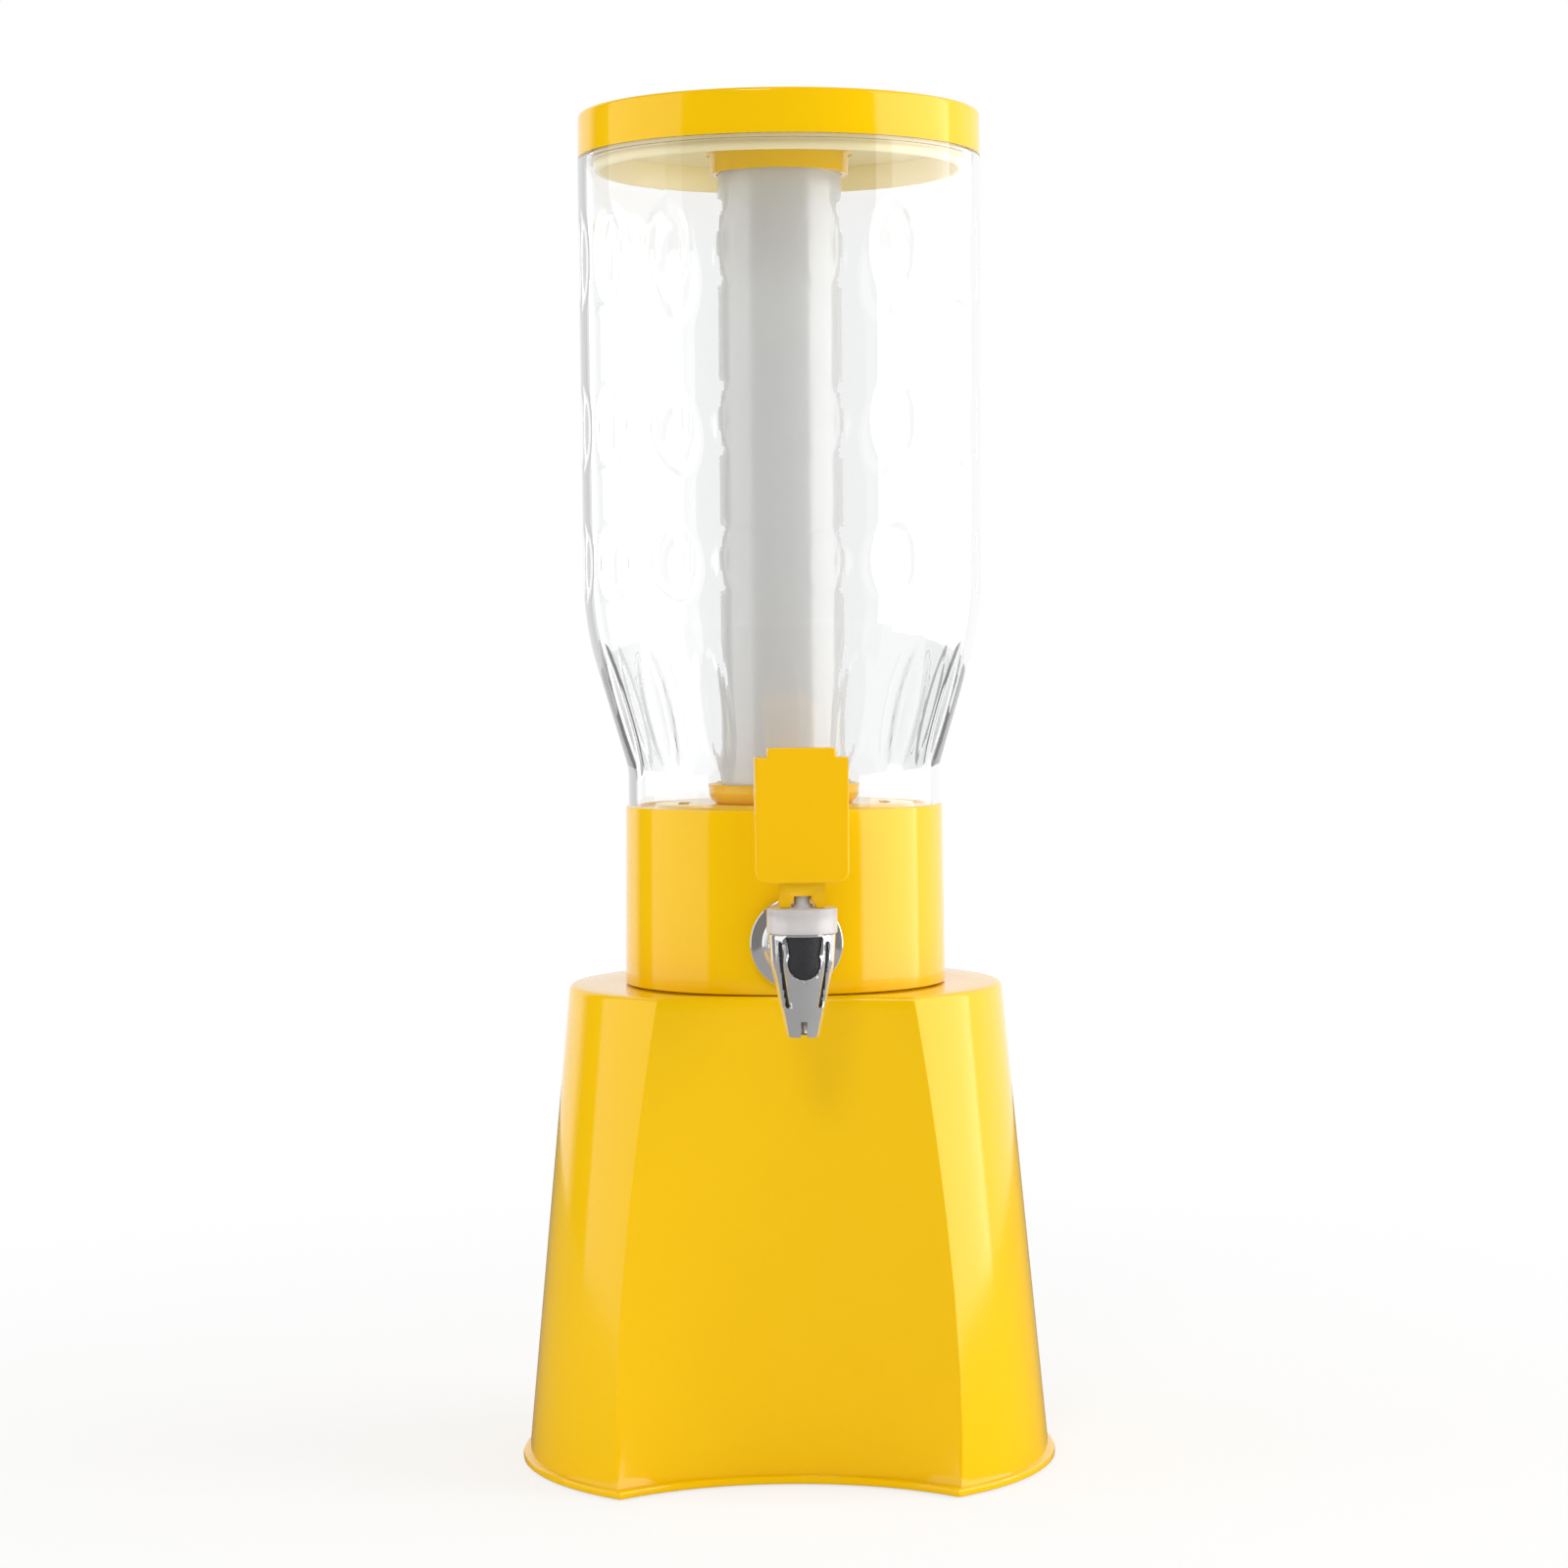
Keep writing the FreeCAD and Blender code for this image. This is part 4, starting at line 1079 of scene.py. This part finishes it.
class TOWER_OT_ice_tube(bpy.types.Operator):
    """Make the frosted ice tube with its closed foot and locking lugs"""

    bl_idname = "tower.ice_tube"
    bl_label = "Ice tube"

    def execute(self, context):
        low, top = low_of("ice_tube").z / MM, high_of("ice_tube").z / MM
        floor = low + TUBE_FLOOR
        points = [(0, low), (19.5, low)]
        points += arc_points((TUBE_RADIUS - FOOT_ROUNDING, low + FOOT_ROUNDING), FOOT_ROUNDING, -90, 0, 6)
        points += [(TUBE_RADIUS, height) for height in (low + 30, low + 110, top - 30, top)]
        points += [(TUBE_BORE, top), (TUBE_BORE, floor + 1.5), (TUBE_BORE - 1.5, floor), (0, floor)]
        tube = spin_profile("ice_tube", in_mm(points), 96)
        smooth(tube, HARD_EDGE)
        lugs = [locking_lug(side) for side in (0, math.pi)]
        settle(join([tube] + lugs), "tube", "frosted_tube", "ice_tube")
        return {"FINISHED"}


# Tap


NOZZLE_FOOT = 158.6
NOZZLE_BEND = 182.5
NOZZLE_TOP = 193.5
NOZZLE_FOOT_RADIUS = 5.4
NOZZLE_BEND_RADIUS = 10.6
NOZZLE_TOP_RADIUS = 11.25
GROOVE_DEG = 46
GROOVE_HALF_DEG = 16
GROOVE_SHALLOWEST = 0.35
GROOVE_DEEPEST = 1.1
GROOVE_TOP = 192


def nozzle_radius(height):
    """Outside of the nozzle at a height, as if it had no grooves."""
    if height < NOZZLE_BEND:
        share = (height - NOZZLE_FOOT) / (NOZZLE_BEND - NOZZLE_FOOT)
        return NOZZLE_FOOT_RADIUS + (NOZZLE_BEND_RADIUS - NOZZLE_FOOT_RADIUS) * share
    share = (height - NOZZLE_BEND) / (NOZZLE_TOP - NOZZLE_BEND)
    return NOZZLE_BEND_RADIUS + (NOZZLE_TOP_RADIUS - NOZZLE_BEND_RADIUS) * share


def paint_groove_shade(body):
    """Paints shade on the floors of the nozzle's two side grooves by giving them the dark insert's material.
    """
    body.data.materials.append(finish("dark_insert"))
    straight = Matrix.Rotation(-sizes().tap_turn, 4, "Z")
    for face in body.data.polygons:
        place = straight @ face.center
        across, ahead, height = place.x / MM, -place.y / MM - TAP_REACH, place.z / MM
        depth = nozzle_radius(height) - math.hypot(across, ahead)
        aside = abs(abs(math.degrees(math.atan2(across, ahead))) - GROOVE_DEG)
        sunk = GROOVE_SHALLOWEST < depth < GROOVE_DEEPEST
        if sunk and aside < GROOVE_HALF_DEG and NOZZLE_FOOT + 1 < height < GROOVE_TOP:
            # Painted shade: the recessed face takes the dark material
            face.material_index = 1


BORE_RADIUS = 8
# Radius, and distance from the tower's axis, of the flange's hub
FLANGE_HUB = ((13.8, 59.9), (12.0, 60.4), (11.5, 60.9), (11.0, 62.2), (10.7, 62.6), (BORE_RADIUS, 62.6))
BONNET_BORE = 9.5
BONNET_CEILING = 198.8
BONNET_LIP = 203.0
STEM_HOLE = 2.68
# Radius and height of the bonnet's outside, from its upper edge to the lip round the stem
BONNET_TOP = (
    (11.85, 201.2),
    (11.67, 201.62),
    (11.25, 201.8),
    (4.2, 201.8),
    (3.6, 202.1),
    (3.6, 202.8),
    (3.3, BONNET_LIP),
)


def tap_flange():
    """The chrome ring against the collar."""
    points = [(BORE_RADIUS, 58), (15.2, 58), *arc_points((15.25, 58.75), 0.75, -90, 90, 8), *FLANGE_HUB]
    flange = spin_profile("tap_collar", in_mm(points), 96)
    shank_place(flange)
    smooth(flange, FINE_EDGE)
    settle(flange, "vessel", "chrome_tap", "tap_flange")


def tap_bonnet():
    """The milky cap over the nozzle, with the hole that the stem comes through."""
    points = [(BONNET_BORE, NOZZLE_TOP), (BONNET_TOP[0][0], NOZZLE_TOP), *BONNET_TOP, (STEM_HOLE, BONNET_LIP)]
    points += [(STEM_HOLE, BONNET_CEILING), (BONNET_BORE, BONNET_CEILING)]
    bonnet = spin_profile("tap_bonnet", in_mm(points), 64)
    tap_place(bonnet)
    smooth(bonnet, FINE_EDGE)
    settle(bonnet, "vessel", "clear_bonnet", "bonnet")


class TOWER_OT_tap(bpy.types.Operator):
    """Make the chrome tap, its flange, insert and bonnet, and dress its washers, nut and valve"""

    bl_idname = "tower.tap"
    bl_label = "Tap"

    def execute(self, context):
        paint_groove_shade(dress("tap_spout", "tap_body", "vessel", "chrome_tap", math.radians(24)))
        tap_flange()
        dress("spout_insert", "nozzle_insert", "vessel", "dark_insert")
        tap_bonnet()
        for node, body, slot, look in (
            ("tap_saddle", "vessel", "grey_silicone", "grey_silicone"),
            ("tap_washer", "vessel", "grey_silicone", "grey_silicone"),
            ("lock_nut", "vessel", "nut_plastic", "nut_plastic"),
            ("valve_diaphragm", "vessel", "grey_silicone", "grey_silicone"),
            ("valve_spring", "vessel", "steel_valve", "steel_valve"),
            ("valve_stem", "valve", "steel_valve", "nut_plastic"),
            ("handle_pin", "valve", "steel_valve", "steel_valve"),
        ):
            dress(node + "_dressed", node, body, slot, look=look)
        return {"FINISHED"}


class TOWER_OT_handle(bpy.types.Operator):
    """Dress the yellow handle"""

    bl_idname = "tower.handle"
    bl_label = "Handle"

    def execute(self, context):
        dress("handle", "tap_handle", "handle", "yellow_handle")
        return {"FINISHED"}


# Stage


WHITE = (1, 1, 1, 1)
DIM_ROOM = 0.05
ROOM_LIGHT = 0.6
FLOOR_RADIUS = 1.2
FLOOR_IN_GLOSS = 0.25
CAMERA_LENS = 86.5
CAMERA_SHIFT = -0.0375
CAMERA_PLACE = (0.0002, -1.3447, 0.2926)
CAMERA_DIP_DEG = 1.354
CAMERA_ROLL_DEG = -0.47
LAMP_AIM = Vector((0, 0, 0.24))


def softbox(name, angle_deg, distance, height, width, tall, power):
    """A tall lamp that faces the tower, placed by its angle from the camera's side, positive to the right."""
    angle = math.radians(angle_deg)
    lamp = bpy.data.lights.new(name, "AREA")
    lamp.shape = "RECTANGLE"
    lamp.size, lamp.size_y = width, tall
    lamp.energy = power
    holder = bpy.data.objects.new(name, lamp)
    holder.location = (distance * math.sin(angle), -distance * math.cos(angle), height)
    aim = LAMP_AIM - holder.location
    holder.rotation_euler = aim.to_track_quat("-Z", "Y").to_euler()
    bpy.context.scene.collection.objects.link(holder)
    holder.visible_camera = False


def white_surround():
    """White for the camera and through clear parts. Gloss sees white behind and a dim room in front."""
    world = bpy.data.worlds.new("surround")
    bpy.context.scene.world = world
    recipe = Recipe(world)
    seen = recipe.ray("Is Camera Ray") + recipe.ray("Is Transmission Ray")
    glossy = recipe.ray("Is Glossy Ray")
    place = recipe.node("ShaderNodeTexCoord", output="Generated")
    right = recipe.node("ShaderNodeSeparateXYZ", inputs={0: place}, output="X")
    behind = recipe.node("ShaderNodeSeparateXYZ", inputs={0: place}, output="Y")
    left = recipe.node("ShaderNodeMath", {"operation": "MINIMUM"}, {0: right, 1: 0.0})
    level = recipe.ramp(behind + left * 0.55, 0.15, 0.4, DIM_ROOM, 1.0)
    passed = recipe.ray("Transmission Depth") > 0.5
    level = level + passed * (1.0 - level) * 0.5
    strength = seen + (1.0 - seen) * (glossy * level + (1.0 - glossy) * ROOM_LIGHT)
    shader = recipe.node("ShaderNodeBackground", inputs={"Color": WHITE, "Strength": strength})
    recipe.surface(shader, "ShaderNodeOutputWorld")


def pale_floor():
    """A white table top that fades into the surround and shows darker in the gloss of the tower's front."""
    deselect()
    bpy.ops.mesh.primitive_circle_add(vertices=96, radius=FLOOR_RADIUS, fill_type="NGON")
    floor = bpy.context.object
    floor.name = "floor"
    recipe = material_recipe("pale_floor")
    tint = tuple(colours().floor)
    away = recipe.node("ShaderNodeVectorMath", {"operation": "LENGTH"}, {0: recipe.place()}, "Value")
    plain = recipe.node("ShaderNodeBsdfDiffuse", inputs={"Color": rgba(tint)})
    dim = recipe.node("ShaderNodeBsdfDiffuse", inputs={"Color": rgba(scaled(tint, FLOOR_IN_GLOSS))})
    glow = recipe.node("ShaderNodeEmission", inputs={"Color": WHITE, "Strength": 1.0})
    shown = recipe.ray("Is Camera Ray") + recipe.ray("Is Transmission Ray")
    fade = shown * recipe.ramp(away, 0.12, FLOOR_RADIUS * 0.6, 0.7, 1.0)
    base = recipe.node("ShaderNodeMixShader", inputs={0: recipe.ray("Is Glossy Ray"), 1: plain, 2: dim})
    mixed = recipe.node("ShaderNodeMixShader", inputs={0: fade, 1: base, 2: glow})
    floor.data.materials.append(recipe.surface(mixed))


def add_camera():
    """The photograph's view, fitted to the ellipses of the lid, the shoulder and the foot."""
    camera = bpy.data.cameras.new("camera")
    camera.lens = CAMERA_LENS
    camera.sensor_width = 36.0
    camera.shift_y = CAMERA_SHIFT
    holder = bpy.data.objects.new("camera", camera)
    holder.location = CAMERA_PLACE
    pitch = math.radians(90 - CAMERA_DIP_DEG)
    roll = math.radians(CAMERA_ROLL_DEG)
    holder.rotation_euler = (Matrix.Rotation(pitch, 3, "X") @ Matrix.Rotation(roll, 3, "Z")).to_euler()
    bpy.context.scene.collection.objects.link(holder)
    bpy.context.scene.camera = holder


class TOWER_OT_stage(bpy.types.Operator):
    """Set the floor, the lamps, the white surround and the camera"""

    bl_idname = "tower.stage"
    bl_label = "Stage"

    def execute(self, context):
        add_camera()
        pale_floor()
        white_surround()
        softbox(
            "right_softbox", angle_deg=83, distance=1.5, height=0.4, width=1.56, tall=2.2, power=26
        )
        softbox(
            "left_softbox", angle_deg=-83, distance=1.5, height=0.4, width=1.56, tall=2.2, power=11
        )
        softbox(
            "top_softbox", angle_deg=-15, distance=2.4, height=2.4, width=0.9, tall=0.9, power=16
        )
        context.scene.view_settings.view_transform = "Standard"
        return {"FINISHED"}


class TOWER_PT_pieces(bpy.types.Panel):
    """Lists the tower's pieces, sizes and colours"""

    bl_idname = "TOWER_PT_pieces"
    bl_label = "Beer tower"
    bl_space_type = "VIEW_3D"
    bl_region_type = "UI"
    bl_category = "Tower"

    def draw(self, context):
        for piece in MAKERS:
            self.layout.operator(piece.bl_idname)
        for group in (context.scene.tower_sizes, context.scene.tower_colours):
            for name in group.bl_rna.properties.keys():
                if name not in ("rna_type", "name"):
                    self.layout.prop(group, name)


MAKERS = (
    TOWER_OT_base,
    TOWER_OT_feet,
    TOWER_OT_collar,
    TOWER_OT_drain_plate,
    TOWER_OT_tank,
    TOWER_OT_lid,
    TOWER_OT_ice_tube,
    TOWER_OT_tap,
    TOWER_OT_handle,
    TOWER_OT_stage,
)
CLASSES = (TowerSizes, TowerColours, *MAKERS, TOWER_PT_pieces)


def register():
    for item in CLASSES:
        bpy.utils.register_class(item)
    bpy.types.Scene.tower_sizes = bpy.props.PointerProperty(type=TowerSizes)
    bpy.types.Scene.tower_colours = bpy.props.PointerProperty(type=TowerColours)


def unregister():
    del bpy.types.Scene.tower_sizes
    del bpy.types.Scene.tower_colours
    for item in reversed(CLASSES):
        bpy.utils.unregister_class(item)


def main():
    register()
    for maker in MAKERS:
        getattr(bpy.ops.tower, maker.bl_idname.removeprefix("tower."))()
    deselect()


if __name__ == "__main__":
    main()
